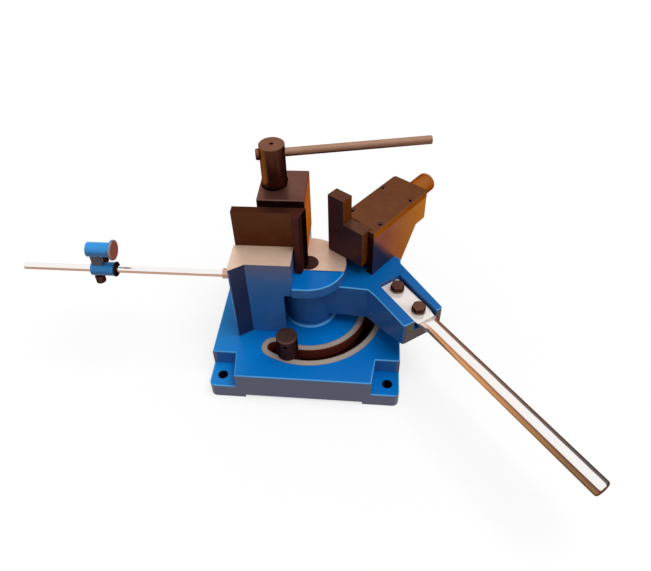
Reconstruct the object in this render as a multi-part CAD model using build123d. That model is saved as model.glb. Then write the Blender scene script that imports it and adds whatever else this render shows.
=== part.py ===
from build123d import *
import math
import os

# Bench bender for flat, square and round bar. Millimetres, +Z up, +Y to the back.
# The origin is on the pivot axis, at the underside of the base, in the middle of the four bolt holes.

# Clearances
RUN = 0.05
SLIDE_GAP = 0.2
BODY_GAP = 0.5
SEAT_GAP = 0.02
# A cut runs this far past the face it opens.
OVER = 1.0
# Small broken edges, and the hexagon across its flats for each millimetre of screw radius.
EDGE = 0.8
SOCKET = 1.5

# Base casting
BASE_W = 274.0
BASE_D = 276.0
BASE_H = 50.0
BASE_CORNER_R = 9.0
EAR_H = 24.0
NOTCH_W = 35.0
NOTCH_D = 42.0
NOTCH_SLANT = 5.0
BOLT_IN_X = 17.0
BOLT_IN_Y = 20.0
BOLT_HOLE_R = 7.0
FOOT_LIFT = 5.0
FOOT_W = 52.0
CAST_EDGE = 2.0

# Pillar and table
TABLE_Z = 146.0
PILLAR_Z = 186.5
PILLAR_LEFT = -104.0
PILLAR_RIGHT = -18.5
PILLAR_FRONT = -52.0
RIB_W = 22.0
RIB_OUT = 14.5
PILLAR_RELIEF_R = 60.5
FRAME_BACK = 100.0
FRAME_RIGHT = -6.0
BRIDGE_R = 55.0
BRIDGE_T = 18.0
BRIDGE_STEP = 1.5
BRIDGE_STEP_Y = -15.5

# Pivot
PIN_R = 15.0
PIN_SINK = 0.3
PIN_FOOT = 7.0
RING_POCKET_R = 23.0
RING_POCKET_H = 16.0
RING_R = 20.0
RING_T = 2.5
RING_GROOVE = 1.5
RING_OPEN = 10.0
BOSS_R = 39.0
BOSS_Z = 57.5
BOSS_FLARE = 2.5
WASHER_T = 2.0
WASHER_R = 37.0
HUB_ROOM = 3.0
HUB_R = 39.0
HUB_Z = 60.0
BUSH_WALL = 3.0
BUSH_L = 20.0

# Curved slot and angle stop
SLOT_R = 94.5
SLOT_W = 19.0
SLOT_FROM = -120.0
SLOT_TO = -6.0
TEE_W = 31.0
TEE_Z = 30.0
STOP_ANGLE = -105.3
STOP_NUT_R = 15.5
STOP_NUT_H = 38.5
STOP_NUT_LIP = 2.0
STOP_BOLT_R = 8.0
STOP_BOLT_UP = 22.0
STOP_HEAD_W = 27.0
STOP_HEAD_T = 9.0
TOMMY_R = 3.2
TOMMY_Z = 29.0

# Fixed jaw
JAW_H = 100.0
JAW_T = 12.4
JAW_LEFT = -101.5
NOSE_FRONT = -23.5
NOSE_W = 8.0
NOSE_BEVEL = 8.0
JAW_SCREW_R = 5.0
JAW_SCREW_HEAD_R = 9.5
JAW_SCREW_L = 34.0
JAW_SCREW_X = (-86.0, -60.0, -34.0)
JAW_SCREW_UP = 22.0

# Clamp block and eccentric
CLAMP_GAP = 16.0
BLOCK_W = 67.0
BLOCK_D = 73.0
BLOCK_RIGHT = -3.5
BLOCK_ROOF = 10.0
BLOCK_CHAMFER = 1.2
CAM_X = -50.0
CAM_Y = 59.0
CAM_R = 19.0
CAM_THROW = 6.0
CAM_FLOOR = 2.0
CAM_SLACK = 0.35
CAM_REACH = 2.4
SHAFT_R = 18.0
SHAFT_TOP = 308.5
JOURNAL_R = 12.0
JOURNAL_L = 46.0
CAM_BUSH_WALL = 3.0
BLOCK_TRAVEL = 4.3
KEY_W = 10.0
KEY_H = 7.0
KEY_X = -15.0
KEY_FROM = 22.0
KEY_TO = 84.0
KEY_SCREW_R = 2.5
KEY_SCREW_L = 16.0
KEY_SCREW_IN = 12.0
KEY_SCREW_SLOT = 0.8
KEY_SCREW_SLOT_D = 1.2
HANDLE_R = 6.0
HANDLE_ANGLE = 10.7
HANDLE_L = 221.0
HANDLE_DROP = 15.0
HANDLE_STUB = 16.5
HANDLE_NUT_R = 8.0
HANDLE_NUT_L = 4.5
HANDLE_NUT_CAP = 2.0
HANDLE_NUT_EDGE = 2.2
SET_SCREW_R = 3.0
SET_SCREW_SINK = 2.0
SET_SCREW_SOCKET = 3.0

# Swing arm, in its own frame: +X along the jaw slide, turned to its place at the end
START_ANGLE = 90.0
SWUNG = 37.0
ARM_LOW = 70.0
PAD_BACK = 109.5
PAD_LEFT = -8.0
PAD_RIGHT = -86.0
WEB_NEAR = (-12.0, -28.0)
WEB_FRONT = (7.5, -58.0)
WEB_KNEE = (27.0, -89.0)
SEAT_AT = (62.1, -110.8)
SEAT_TURN = -107.0
SEAT_BACK = -30.0
SEAT_END = 72.5
SEAT_NEAR = -38.3
SEAT_FAR = 27.7
SEAT_FAR_BACK = 33.0
SEAT_KNEE = 5.0
SEAT_END_LOW = 90.0
SEAT_ROUND = 4.0
POCKET_BACK = -11.0
POCKET_NEAR = -21.0
POCKET_FAR = 16.7

# Lever
LEVER_R = 11.0
LEVER_L = 373.0
LEVER_SHIFT = -3.4
LEVER_SKEW = 1.2
LEVER_ROOM = 1.0
LEVER_TIP = 3.0
LEVER_DROP = 7.0
LEVER_FLAT = 74.0
LEVER_FLAT_W = 33.6
LEVER_RAMP = 14.0
LEVER_BOLTS = (6.0, 54.5)
LEVER_BOLT_R = 5.0
LEVER_BOLT_AF = 17.0
LEVER_BOLT_HEAD = 7.5
LEVER_BOLT_DEPTH = 11.0
LEVER_WASHER_R = 10.0
LEVER_WASHER_T = 2.0

# Slide housing, cover, moving jaw and adjusting screw
HOUSE_CHEEK = 54.5
HOUSE_BACK = 185.0
HOUSE_LEFT = -13.5
HOUSE_RIGHT = -75.0
HOUSE_Z = 196.0
HOUSE_FLOOR = 148.0
HOUSE_BACK_WALL = 37.0
HOUSE_HEEL_X = 159.6
HOUSE_HEEL_Z = 157.0
HOUSE_FOOT_X = 124.0
HOUSE_FOOT_Z = 100.0
HOUSE_CORNER = 5.0
COVER_T = 10.0
COVER_SCREW_X = (76.0, 147.0)
COVER_SCREW_IN = 6.0
COVER_SCREW_R = 3.0
COVER_SCREW_HEAD_R = 5.0
COVER_SCREW_HEAD = 6.0
COVER_SCREW_L = 20.0
HOLD_SCREW_R = 4.0
HOLD_SCREW_HEAD_R = 6.5
HOLD_SCREW_HEAD = 8.0
HOLD_SCREW_L = 34.0
HOLD_SCREW_X = (77.0, 98.0)
HOLD_SCREW_Y = (-33.0, -56.0)
FACE_X = 42.0
HEAD_T = 19.0
HEAD_ROOM = 1.0
HEAD_LEFT = -2.5
HEAD_RIGHT = -64.6
COLUMN_W = 27.5
LOW_H = 60.0
RAM_LEFT = -30.0
RAM_BACK = 140.0
GIB_T = 4.0
JAW_LIFT = 1.0
SCREW_R = 8.0
SCREW_NECK_R = 6.5
SCREW_Z = 184.0
SCREW_REACH = 56.0
SCREW_BORE = 52.0
SCREW_COLLAR_R = 10.5
SCREW_COLLAR_T = 5.0
KNOB_R = 15.0
KNOB_L = 44.0
KNOB_EDGE = 3.0

# Length stop
STOP_ROD_R = 5.0
STOP_ROD_Y = -47.0
STOP_ROD_DROP = 23.0
STOP_ROD_END = -409.0
STOP_ROD_IN = 18.0
JAM_NUT_AF = 13.0
JAM_NUT_T = 11.0
BRACKET_RIGHT = -272.5
BRACKET_L = 33.5
BRACKET_R = 10.0
BRACKET_NOSE_R = 8.0
BRACKET_NOSE_L = 2.0
BRACKET_NUT_R = 10.8
BRACKET_NUT_L = 3.2
UPPER_RISE = 36.5
UPPER_R = 10.5
UPPER_L = 33.0
UPPER_SHIFT = 3.0
WEB_T = 9.0
WEB_L = 15.0
DISC_R = 14.5
DISC_T = 4.0
SPINDLE_R = 4.0
DISC_STAND = 1.5
THUMB_R = 3.0
THUMB_HEAD_R = 7.0
THUMB_HEAD = 12.0
THUMB_NECK = 3.0
THUMB_AT = 6.0
LOCK_R = 2.5
LOCK_HEAD_R = 4.0
LOCK_HEAD = 6.0
LOCK_NECK = 5.0
LOCK_AT = 11.5

# Values worked out from those above
ARM_ANGLE = START_ANGLE - SWUNG
BOLT_X = BASE_W - 2 * BOLT_IN_X
BOLT_Y = BASE_D - 2 * BOLT_IN_Y
BRIDGE_LOW = TABLE_Z - BRIDGE_T
ARM_TOP = BRIDGE_LOW - BODY_GAP
JAW_TOP = TABLE_Z + JAW_H
LEVER_Z = BRIDGE_LOW - LEVER_DROP
POCKET_FLOOR = LEVER_Z - LEVER_R - SEAT_GAP
STOP_X = SLOT_R * math.cos(math.radians(STOP_ANGLE))
STOP_Y = SLOT_R * math.sin(math.radians(STOP_ANGLE))
STOP_ROD_Z = PILLAR_Z - STOP_ROD_DROP
HANDLE_Z = SHAFT_TOP - HANDLE_DROP
BLOCK_LEFT = BLOCK_RIGHT - BLOCK_W
BLOCK_Z = TABLE_Z + SLIDE_GAP
JAW_SCREW_Z = TABLE_Z + JAW_SCREW_UP
BRACKET_LEFT = BRACKET_RIGHT - BRACKET_L
UPPER_LEFT = BRACKET_LEFT + UPPER_SHIFT
UPPER_RIGHT = UPPER_LEFT + UPPER_L
UPPER_Z = STOP_ROD_Z + UPPER_RISE
HOUSE_FRONT = FACE_X + HEAD_T + HEAD_ROOM
SCREW_Y = (HOUSE_LEFT + HOUSE_RIGHT) / 2
LOCK_X = UPPER_RIGHT - LOCK_AT
HEX_R = 1 / math.sqrt(3)
ARM = Rot(0, 0, ARM_ANGLE)
SEAT_PLACE = Pos(SEAT_AT[0], SEAT_AT[1], 0) * Rot(0, 0, SEAT_TURN)
LEVER_PLACE = SEAT_PLACE * Pos(0, LEVER_SHIFT, 0) * Rot(0, 0, LEVER_SKEW)


def block(x0, x1, y0, y1, z0, z1):
    middle = Pos((x0 + x1) / 2, (y0 + y1) / 2, (z0 + z1) / 2)
    return middle * Box(abs(x1 - x0), abs(y1 - y0), abs(z1 - z0))


def post(radius, z0, z1, x=0.0, y=0.0):
    return Pos(x, y, (z0 + z1) / 2) * Cylinder(radius, abs(z1 - z0))


def bar_x(radius, x0, x1, y, z):
    return Pos((x0 + x1) / 2, y, z) * Rot(0, 90, 0) * Cylinder(radius, abs(x1 - x0))


def bar_y(radius, y0, y1, x, z):
    return Pos(x, (y0 + y1) / 2, z) * Rot(90, 0, 0) * Cylinder(radius, abs(y1 - y0))


def prism(points, z0, z1):
    return Pos(0, 0, z0) * extrude(Polygon(*points, align=None), amount=z1 - z0, dir=(0, 0, 1))


def side_prism(points, y0, y1):
    # A profile of X and Z points, carried along Y.
    face = Plane.XZ * Polygon(*points, align=None)
    return Pos(0, max(y0, y1), 0) * extrude(face, amount=abs(y1 - y0), dir=(0, -1, 0))


def hexagon(across_flats, z0, z1, x=0.0, y=0.0):
    sketch = RegularPolygon(across_flats * HEX_R, 6)
    return Pos(x, y, z0) * extrude(sketch, amount=z1 - z0)


def seat_point(s, p):
    turn = math.radians(SEAT_TURN)
    x = SEAT_AT[0] + s * math.cos(turn) - p * math.sin(turn)
    y = SEAT_AT[1] + s * math.sin(turn) + p * math.cos(turn)
    return (x, y)


def curved_slot(width, z0, z1):
    path = CenterArc((0, 0), SLOT_R, SLOT_FROM, SLOT_TO - SLOT_FROM)
    return Pos(0, 0, z0) * extrude(SlotArc(path, width), amount=z1 - z0)


def base_slab():
    slab = block(-BASE_W / 2, BASE_W / 2, -BASE_D / 2, BASE_D / 2, 0, BASE_H)
    slab = fillet(slab.edges().filter_by(Axis.Z), BASE_CORNER_R)
    for sx in (-1, 1):
        for sy in (-1, 1):
            inner_x = sx * (BASE_W / 2 - NOTCH_W)
            front_x = sx * (BASE_W / 2 - NOTCH_W - NOTCH_SLANT)
            outer_x = sx * BASE_W
            inner_y = sy * (BASE_D / 2 - NOTCH_D)
            outer_y = sy * BASE_D / 2
            corner = [(inner_x, inner_y), (outer_x, inner_y), (outer_x, 2 * outer_y)]
            corner += [(front_x, 2 * outer_y), (front_x, outer_y)]
            slab -= prism(corner, EAR_H, BASE_H + OVER)
    slab = fillet(slab.edges().group_by(Axis.Z)[-1], CAST_EDGE)
    for sx in (-1, 1):
        for sy in (-1, 1):
            slab -= post(BOLT_HOLE_R, -OVER, BASE_H, sx * BOLT_X / 2, sy * BOLT_Y / 2)
    # The underside is lifted between the four feet.
    reach_x = BASE_W / 2 - FOOT_W
    reach_y = BASE_D / 2 - FOOT_W
    slab -= block(-reach_x, reach_x, -BASE_D, BASE_D, -OVER, FOOT_LIFT)
    slab -= block(-BASE_W, BASE_W, -reach_y, reach_y, -OVER, FOOT_LIFT)
    return slab


def pillar():
    rib_front = PILLAR_FRONT - RIB_OUT
    plan = [(PILLAR_LEFT, rib_front), (PILLAR_LEFT + RIB_W, PILLAR_FRONT), (PILLAR_RIGHT, PILLAR_FRONT)]
    plan += [(PILLAR_RIGHT, -JAW_T), (PILLAR_LEFT, -JAW_T)]
    column = prism(plan, BASE_H, PILLAR_Z)
    front = column.edges().filter_by(Axis.Z).group_by(Axis.Y)
    column = fillet(front[0] + front[1], CAST_EDGE)
    # Under the bridge the pillar is hollowed so that the arm can swing past.
    return column - post(PILLAR_RELIEF_R, BASE_H, BRIDGE_LOW)


def bridge():
    plate = post(BRIDGE_R, BRIDGE_LOW, TABLE_Z) + block(PILLAR_RIGHT, 0, -BRIDGE_R, 0, BRIDGE_LOW, TABLE_Z)
    # The front strip of the bridge is left rough, a little below the machined table.
    rough_z = TABLE_Z - BRIDGE_STEP
    reach = BRIDGE_R + OVER
    plate -= block(PILLAR_RIGHT - OVER, reach, -reach, BRIDGE_STEP_Y, rough_z, TABLE_Z + OVER)
    rim = plate.edges().filter_by(GeomType.CIRCLE).filter_by_position(Axis.Z, rough_z - OVER, rough_z + OVER)
    return fillet(rim, CAST_EDGE)


def pivot_boss():
    boss = post(BOSS_R, BASE_H, BOSS_Z)
    return boss + Pos(0, 0, BASE_H + BOSS_FLARE / 2) * Cone(BOSS_R + BOSS_FLARE, BOSS_R, BOSS_FLARE)


def base_casting():
    casting = base_slab() + pivot_boss() + pillar()
    casting += block(PILLAR_LEFT, FRAME_RIGHT, -JAW_T, FRAME_BACK, BASE_H, TABLE_Z)
    casting += bridge()
    # Room for the hub of the swing arm.
    casting -= post(HUB_R + HUB_ROOM, BOSS_Z, BRIDGE_LOW)
    casting -= post(PIN_R + SEAT_GAP, -OVER, TABLE_Z + OVER)
    casting -= post(RING_POCKET_R, -OVER, RING_POCKET_H)
    casting -= curved_slot(SLOT_W, TEE_Z - OVER, BASE_H + OVER)
    casting -= curved_slot(TEE_W, -OVER, TEE_Z)
    bush_hole = JOURNAL_R + CAM_BUSH_WALL + SEAT_GAP
    casting -= post(bush_hole, TABLE_Z - JOURNAL_L - BODY_GAP, TABLE_Z + OVER, CAM_X, CAM_Y)
    key_low = TABLE_Z - KEY_H / 2
    casting -= block(KEY_X - KEY_W / 2, KEY_X + KEY_W / 2, KEY_FROM, KEY_TO, key_low, TABLE_Z + OVER)
    for y in key_screw_places():
        screw_end = TABLE_Z + KEY_H / 2 - KEY_SCREW_L
        casting -= post(KEY_SCREW_R + SEAT_GAP, screw_end - OVER, TABLE_Z, KEY_X, y)
    for x in JAW_SCREW_X:
        casting -= bar_y(JAW_SCREW_R + SEAT_GAP, -JAW_SCREW_L - OVER, 0, x, JAW_SCREW_Z)
    rod_end = PILLAR_LEFT + STOP_ROD_IN
    casting -= bar_x(STOP_ROD_R + SEAT_GAP, PILLAR_LEFT - OVER, rod_end + OVER, STOP_ROD_Y, STOP_ROD_Z)
    return casting


def pivot_pin():
    pin = post(PIN_R, PIN_FOOT, TABLE_Z - PIN_SINK)
    groove_z = RING_POCKET_H - RING_T - BODY_GAP
    groove = post(PIN_R + OVER, groove_z - RUN, groove_z + RING_T + RUN)
    groove -= post(PIN_R - RING_GROOVE, groove_z - OVER, groove_z + RING_T + OVER)
    return pin - groove


def pivot_retaining_ring():
    z = RING_POCKET_H - RING_T - BODY_GAP
    ring = post(RING_R, z, z + RING_T) - post(PIN_R - RING_GROOVE + SEAT_GAP, z - OVER, z + RING_T + OVER)
    return ring - block(0, RING_R + OVER, -RING_OPEN / 2, RING_OPEN / 2, z - OVER, z + RING_T + OVER)


def thrust_washer():
    z = BOSS_Z + SEAT_GAP
    return post(WASHER_R, z, z + WASHER_T) - post(PIN_R + RUN, z - OVER, z + WASHER_T + OVER)


def pivot_bush(z0):
    return post(PIN_R + BUSH_WALL, z0, z0 + BUSH_L) - post(PIN_R + RUN, z0 - OVER, z0 + BUSH_L + OVER)


def fixed_jaw():
    step = PILLAR_RIGHT + SLIDE_GAP
    plan = [(JAW_LEFT, 0), (0, 0), (-NOSE_BEVEL, NOSE_FRONT), (-NOSE_BEVEL - NOSE_W, NOSE_FRONT)]
    plan += [(step, -JAW_T), (JAW_LEFT, -JAW_T)]
    jaw = prism(plan, TABLE_Z, JAW_TOP)
    for x in JAW_SCREW_X:
        jaw -= bar_y(JAW_SCREW_R + SEAT_GAP, -JAW_T - OVER, OVER, x, JAW_SCREW_Z)
        jaw -= countersunk(x, SEAT_GAP)
    return jaw


def countersunk(x, grow):
    # A flush head under the clamping face.
    depth = JAW_SCREW_HEAD_R - JAW_SCREW_R
    cone = Cone(JAW_SCREW_R + grow, JAW_SCREW_HEAD_R + grow, depth)
    return Pos(x, -depth / 2, JAW_SCREW_Z) * Rot(-90, 0, 0) * cone


def jaw_screws():
    screws = []
    for x in JAW_SCREW_X:
        screw = bar_y(JAW_SCREW_R, -JAW_SCREW_L, -SEAT_GAP, x, JAW_SCREW_Z)
        screw += Pos(0, -SEAT_GAP, 0) * countersunk(x, 0)
        socket = Pos(x, 0, JAW_SCREW_Z) * Rot(90, 0, 0) * hexagon(JAW_SCREW_R * SOCKET, 0, JAW_SCREW_R)
        screws.append(screw - socket)
    return Compound(children=screws)


def clamp_block():
    front = CLAMP_GAP
    body = block(BLOCK_LEFT, BLOCK_RIGHT, front, front + BLOCK_D, BLOCK_Z, JAW_TOP)
    body = chamfer(body.edges(), BLOCK_CHAMFER)
    # The cam works in a room that lets it swing sideways; the roof leaves space for the round shaft.
    roof_z = JAW_TOP - BLOCK_ROOF
    cam_x = CAM_X + CAM_THROW
    hole = CAM_R + CAM_SLACK
    body -= block(cam_x - CAM_REACH, cam_x, CAM_Y - hole, CAM_Y + hole, BLOCK_Z - OVER, roof_z)
    for x in (cam_x, cam_x - CAM_REACH):
        body -= post(hole, BLOCK_Z - OVER, roof_z, x, CAM_Y)
    neck = SHAFT_R + BODY_GAP
    y0 = CAM_Y - BLOCK_TRAVEL
    y1 = CAM_Y + BLOCK_TRAVEL
    body -= block(CAM_X - neck, CAM_X + neck, y0, y1, roof_z - OVER, JAW_TOP + OVER)
    for y in (y0, y1):
        body -= post(neck, roof_z - OVER, JAW_TOP + OVER, CAM_X, y)
    # Groove for the guide key, open at both ends.
    half = KEY_W / 2 + SLIDE_GAP
    groove_z = TABLE_Z + KEY_H / 2 + SLIDE_GAP
    back = front + BLOCK_D
    body -= block(KEY_X - half, KEY_X + half, front - OVER, back + OVER, BLOCK_Z - OVER, groove_z)
    return body


def eccentric_shaft():
    shaft = post(JOURNAL_R, TABLE_Z - JOURNAL_L, TABLE_Z + CAM_FLOOR, CAM_X, CAM_Y)
    shaft += post(CAM_R, TABLE_Z + CAM_FLOOR, JAW_TOP - BLOCK_ROOF - BODY_GAP, CAM_X + CAM_THROW, CAM_Y)
    head = post(SHAFT_R, JAW_TOP - BLOCK_ROOF - BODY_GAP, SHAFT_TOP, CAM_X, CAM_Y)
    head = chamfer(head.edges().group_by(Axis.Z)[-1], EDGE)
    shaft += head
    turn = Pos(CAM_X, CAM_Y, 0) * Rot(0, 0, HANDLE_ANGLE)
    shaft -= turn * bar_x(HANDLE_R + SEAT_GAP, -SHAFT_R - OVER, SHAFT_R + OVER, 0, HANDLE_Z)
    nut_seat = SEAT_GAP - HANDLE_STUB
    shaft -= turn * bar_x(HANDLE_NUT_R + BODY_GAP, -SHAFT_R - OVER, nut_seat, 0, HANDLE_Z)
    shaft -= post(SET_SCREW_R + SEAT_GAP, HANDLE_Z, SHAFT_TOP + OVER, CAM_X, CAM_Y)
    return shaft


def cam_bush():
    z0 = TABLE_Z - JOURNAL_L
    bush = post(JOURNAL_R + CAM_BUSH_WALL, z0, TABLE_Z, CAM_X, CAM_Y)
    return bush - post(JOURNAL_R + RUN, z0 - OVER, TABLE_Z + OVER, CAM_X, CAM_Y)


def handle_rod():
    rod = bar_x(HANDLE_R, -HANDLE_STUB - HANDLE_NUT_L, HANDLE_L, 0, HANDLE_Z)
    rod = chamfer(rod.edges(), EDGE)
    return Pos(CAM_X, CAM_Y, 0) * Rot(0, 0, HANDLE_ANGLE) * rod


def handle_nut():
    outer = -HANDLE_STUB - HANDLE_NUT_L
    nut = bar_x(HANDLE_NUT_R, outer - HANDLE_NUT_CAP, -HANDLE_STUB, 0, HANDLE_Z)
    nut = fillet(nut.edges(), HANDLE_NUT_EDGE)
    nut -= bar_x(HANDLE_R + SEAT_GAP, outer, -HANDLE_STUB + OVER, 0, HANDLE_Z)
    return Pos(CAM_X, CAM_Y, 0) * Rot(0, 0, HANDLE_ANGLE) * nut


def handle_set_screw():
    top = SHAFT_TOP - SET_SCREW_SINK
    screw = post(SET_SCREW_R, HANDLE_Z + HANDLE_R + SEAT_GAP, top, CAM_X, CAM_Y)
    return screw - hexagon(SET_SCREW_R, top - SET_SCREW_SOCKET, top + OVER, CAM_X, CAM_Y)


def key_screw_places():
    return (KEY_FROM + KEY_SCREW_IN, KEY_TO - KEY_SCREW_IN)


def guide_key():
    half = KEY_W / 2 - SEAT_GAP
    y0 = KEY_FROM + SEAT_GAP
    y1 = KEY_TO - SEAT_GAP
    key = block(KEY_X - half, KEY_X + half, y0, y1, TABLE_Z - KEY_H / 2, TABLE_Z + KEY_H / 2)
    for y in key_screw_places():
        key -= post(KEY_SCREW_R + SEAT_GAP, TABLE_Z - KEY_H, TABLE_Z + KEY_H, KEY_X, y)
    return key


def guide_key_screws():
    top = TABLE_Z + KEY_H / 2
    screws = []
    for y in key_screw_places():
        screw = post(KEY_SCREW_R, top - KEY_SCREW_L, top - SLIDE_GAP, KEY_X, y)
        half = KEY_SCREW_SLOT / 2
        reach = KEY_SCREW_R + OVER
        slot = block(KEY_X - half, KEY_X + half, y - reach, y + reach, top - KEY_SCREW_SLOT_D, top)
        screws.append(screw - slot)
    return Compound(children=screws)


def stop_t_bolt():
    low = TEE_Z - BODY_GAP - STOP_HEAD_T
    half = STOP_HEAD_W / 2
    head = block(-half, half, -half, half, low, TEE_Z - SLIDE_GAP)
    bolt = head + post(STOP_BOLT_R, low, BASE_H + STOP_BOLT_UP)
    return Rot(0, 0, STOP_ANGLE) * Pos(SLOT_R, 0, 0) * bolt


def stop_nut():
    nut = post(STOP_NUT_R, BASE_H + SLIDE_GAP, BASE_H + STOP_NUT_H)
    nut = fillet(nut.edges().group_by(Axis.Z)[-1], STOP_NUT_LIP)
    nut -= post(STOP_BOLT_R + RUN, BASE_H - OVER, BASE_H + STOP_BOLT_UP + BODY_GAP)
    nut -= bar_y(TOMMY_R, -STOP_NUT_R - OVER, STOP_NUT_R + OVER, 0, BASE_H + TOMMY_Z)
    return Pos(STOP_X, STOP_Y, 0) * nut


def arm_plan():
    plan = [WEB_NEAR, WEB_FRONT, WEB_KNEE]
    plan += [seat_point(SEAT_KNEE, SEAT_NEAR), seat_point(SEAT_END, SEAT_NEAR)]
    plan += [seat_point(SEAT_END, SEAT_FAR), seat_point(SEAT_BACK, SEAT_FAR_BACK)]
    plan += [(PAD_BACK, PAD_RIGHT), (PAD_BACK, PAD_LEFT), (HUB_R / 2, PAD_LEFT)]
    return plan


def swing_arm():
    arm = prism(arm_plan(), ARM_LOW, ARM_TOP)
    middle = (ARM_LOW + ARM_TOP) / 2
    corners = [Vector(*seat_point(SEAT_END, p), middle) for p in (SEAT_NEAR, SEAT_FAR)]
    upright = arm.edges().filter_by(Axis.Z)
    arm = fillet([upright.sort_by_distance(corner)[0] for corner in corners], SEAT_ROUND)
    arm = fillet(arm.edges().group_by(Axis.Z)[-1], CAST_EDGE)
    # The underside rises towards the free end of the lever seat.
    far = SEAT_END + OVER
    wedge = [(SEAT_KNEE, ARM_LOW), (far, SEAT_END_LOW), (far, ARM_LOW - OVER), (SEAT_KNEE, ARM_LOW - OVER)]
    arm -= SEAT_PLACE * side_prism(wedge, SEAT_NEAR - BASE_W, SEAT_FAR + BASE_W)
    arm += post(HUB_R, HUB_Z, ARM_TOP)
    arm -= post(PIN_R + BUSH_WALL + SEAT_GAP, HUB_Z - OVER, ARM_TOP + OVER)
    arm -= SEAT_PLACE * block(POCKET_BACK, far, POCKET_NEAR, POCKET_FAR, POCKET_FLOOR, ARM_TOP + OVER)
    for s in LEVER_BOLTS:
        low = POCKET_FLOOR - LEVER_BOLT_DEPTH - OVER
        arm -= SEAT_PLACE * post(LEVER_BOLT_R + SEAT_GAP, low, ARM_TOP, s, 0)
    for x in HOLD_SCREW_X:
        for y in HOLD_SCREW_Y:
            arm -= post(HOLD_SCREW_R + SEAT_GAP, HOUSE_FLOOR - HOLD_SCREW_L - OVER, ARM_TOP + OVER, x, y)
    return ARM * arm


def lever():
    back = POCKET_BACK + LEVER_ROOM
    spread = LEVER_FLAT - LEVER_RAMP
    ramp_end = LEVER_FLAT + LEVER_RAMP
    bar = bar_x(LEVER_R, ramp_end, LEVER_L + POCKET_BACK, 0, LEVER_Z)
    bar = fillet(bar.edges().group_by(Axis.X)[-1], LEVER_TIP)
    # The end in the seat is forged to a wider oval, which runs out into the round bar.
    oval = Ellipse(LEVER_FLAT_W / 2, LEVER_R)
    neck = loft([Plane.YZ.offset(spread) * oval, Plane.YZ.offset(ramp_end) * Circle(LEVER_R)])
    bar += Pos(0, 0, LEVER_Z) * (extrude(Plane.YZ.offset(back) * oval, amount=spread - back) + neck)
    # Its top is milled flat, with a ramp up to the full bar.
    reach = LEVER_FLAT_W / 2 + OVER
    flat = [(POCKET_BACK, LEVER_Z), (LEVER_FLAT, LEVER_Z), (ramp_end, LEVER_Z + LEVER_R + OVER)]
    flat += [(POCKET_BACK, LEVER_Z + LEVER_R + OVER)]
    bar -= side_prism(flat, -reach, reach)
    bar = LEVER_PLACE * bar
    for s in LEVER_BOLTS:
        bar -= SEAT_PLACE * post(LEVER_BOLT_R + BODY_GAP, LEVER_Z - LEVER_R - OVER, LEVER_Z + OVER, s, 0)
    return ARM * bar


def lever_washers():
    washers = []
    for s in LEVER_BOLTS:
        washer = post(LEVER_WASHER_R, LEVER_Z, LEVER_Z + LEVER_WASHER_T, s, 0)
        washer -= post(LEVER_BOLT_R + RUN, LEVER_Z - OVER, LEVER_Z + LEVER_WASHER_T + OVER, s, 0)
        washers.append(ARM * SEAT_PLACE * washer)
    return Compound(children=washers)


def lever_bolts():
    seat = LEVER_Z + LEVER_WASHER_T
    crown = LEVER_BOLT_AF / 2
    bolts = []
    for s in LEVER_BOLTS:
        bolt = hexagon(LEVER_BOLT_AF, seat, seat + LEVER_BOLT_HEAD, s, 0)
        # The corners of the head are turned off at 45 degrees.
        turned = Cone(crown + LEVER_BOLT_HEAD, crown, LEVER_BOLT_HEAD)
        bolt = bolt & (Pos(s, 0, seat + LEVER_BOLT_HEAD / 2) * turned)
        bolt += post(LEVER_BOLT_R, POCKET_FLOOR - LEVER_BOLT_DEPTH, seat, s, 0)
        bolts.append(ARM * SEAT_PLACE * bolt)
    return Compound(children=bolts)


def cheek(z0, z1):
    # The right wall reaches forward beside the jaw, and the cover with it.
    return block(HOUSE_CHEEK, HOUSE_FRONT + OVER, HOUSE_RIGHT, HEAD_RIGHT - BODY_GAP, z0, z1)


def slide_housing():
    foot = PAD_BACK + SEAT_GAP
    profile = [(HOUSE_FRONT, ARM_TOP), (foot, ARM_TOP), (foot, HOUSE_FOOT_Z), (HOUSE_FOOT_X, HOUSE_FOOT_Z)]
    profile += [(HOUSE_HEEL_X, HOUSE_HEEL_Z), (HOUSE_BACK, HOUSE_HEEL_Z)]
    profile += [(HOUSE_BACK, HOUSE_Z), (HOUSE_FRONT, HOUSE_Z)]
    house = side_prism(profile, HOUSE_RIGHT, HOUSE_LEFT)
    house = fillet(house.edges().filter_by(Axis.Z).group_by(Axis.X)[-1], HOUSE_CORNER)
    house += cheek(ARM_TOP, HOUSE_Z)
    left = RAM_LEFT + GIB_T + SLIDE_GAP
    right = HEAD_RIGHT - SLIDE_GAP
    inner = HOUSE_BACK - HOUSE_BACK_WALL
    house -= block(HOUSE_FRONT - OVER, inner, right, left, HOUSE_FLOOR, HOUSE_Z + OVER)
    house -= bar_x(SCREW_NECK_R + RUN, inner - OVER, HOUSE_BACK + OVER, SCREW_Y, SCREW_Z)
    head_z = HOUSE_FLOOR - HOLD_SCREW_HEAD - BODY_GAP
    for x in HOLD_SCREW_X:
        for y in HOLD_SCREW_Y:
            house -= post(HOLD_SCREW_R + SEAT_GAP, ARM_TOP - OVER, HOUSE_FLOOR + OVER, x, y)
            house -= post(HOLD_SCREW_HEAD_R + RUN, head_z, HOUSE_FLOOR + OVER, x, y)
    screw_end = HOUSE_Z + COVER_T - COVER_SCREW_HEAD - COVER_SCREW_L
    for x, y in cover_screw_places():
        house -= post(COVER_SCREW_R + SEAT_GAP, screw_end - OVER, HOUSE_Z + OVER, x, y)
    return ARM * house


def cover_screw_places():
    sides = (HOUSE_LEFT - COVER_SCREW_IN, HOUSE_RIGHT + COVER_SCREW_IN)
    return [(x, y) for x in COVER_SCREW_X for y in sides]


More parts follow.
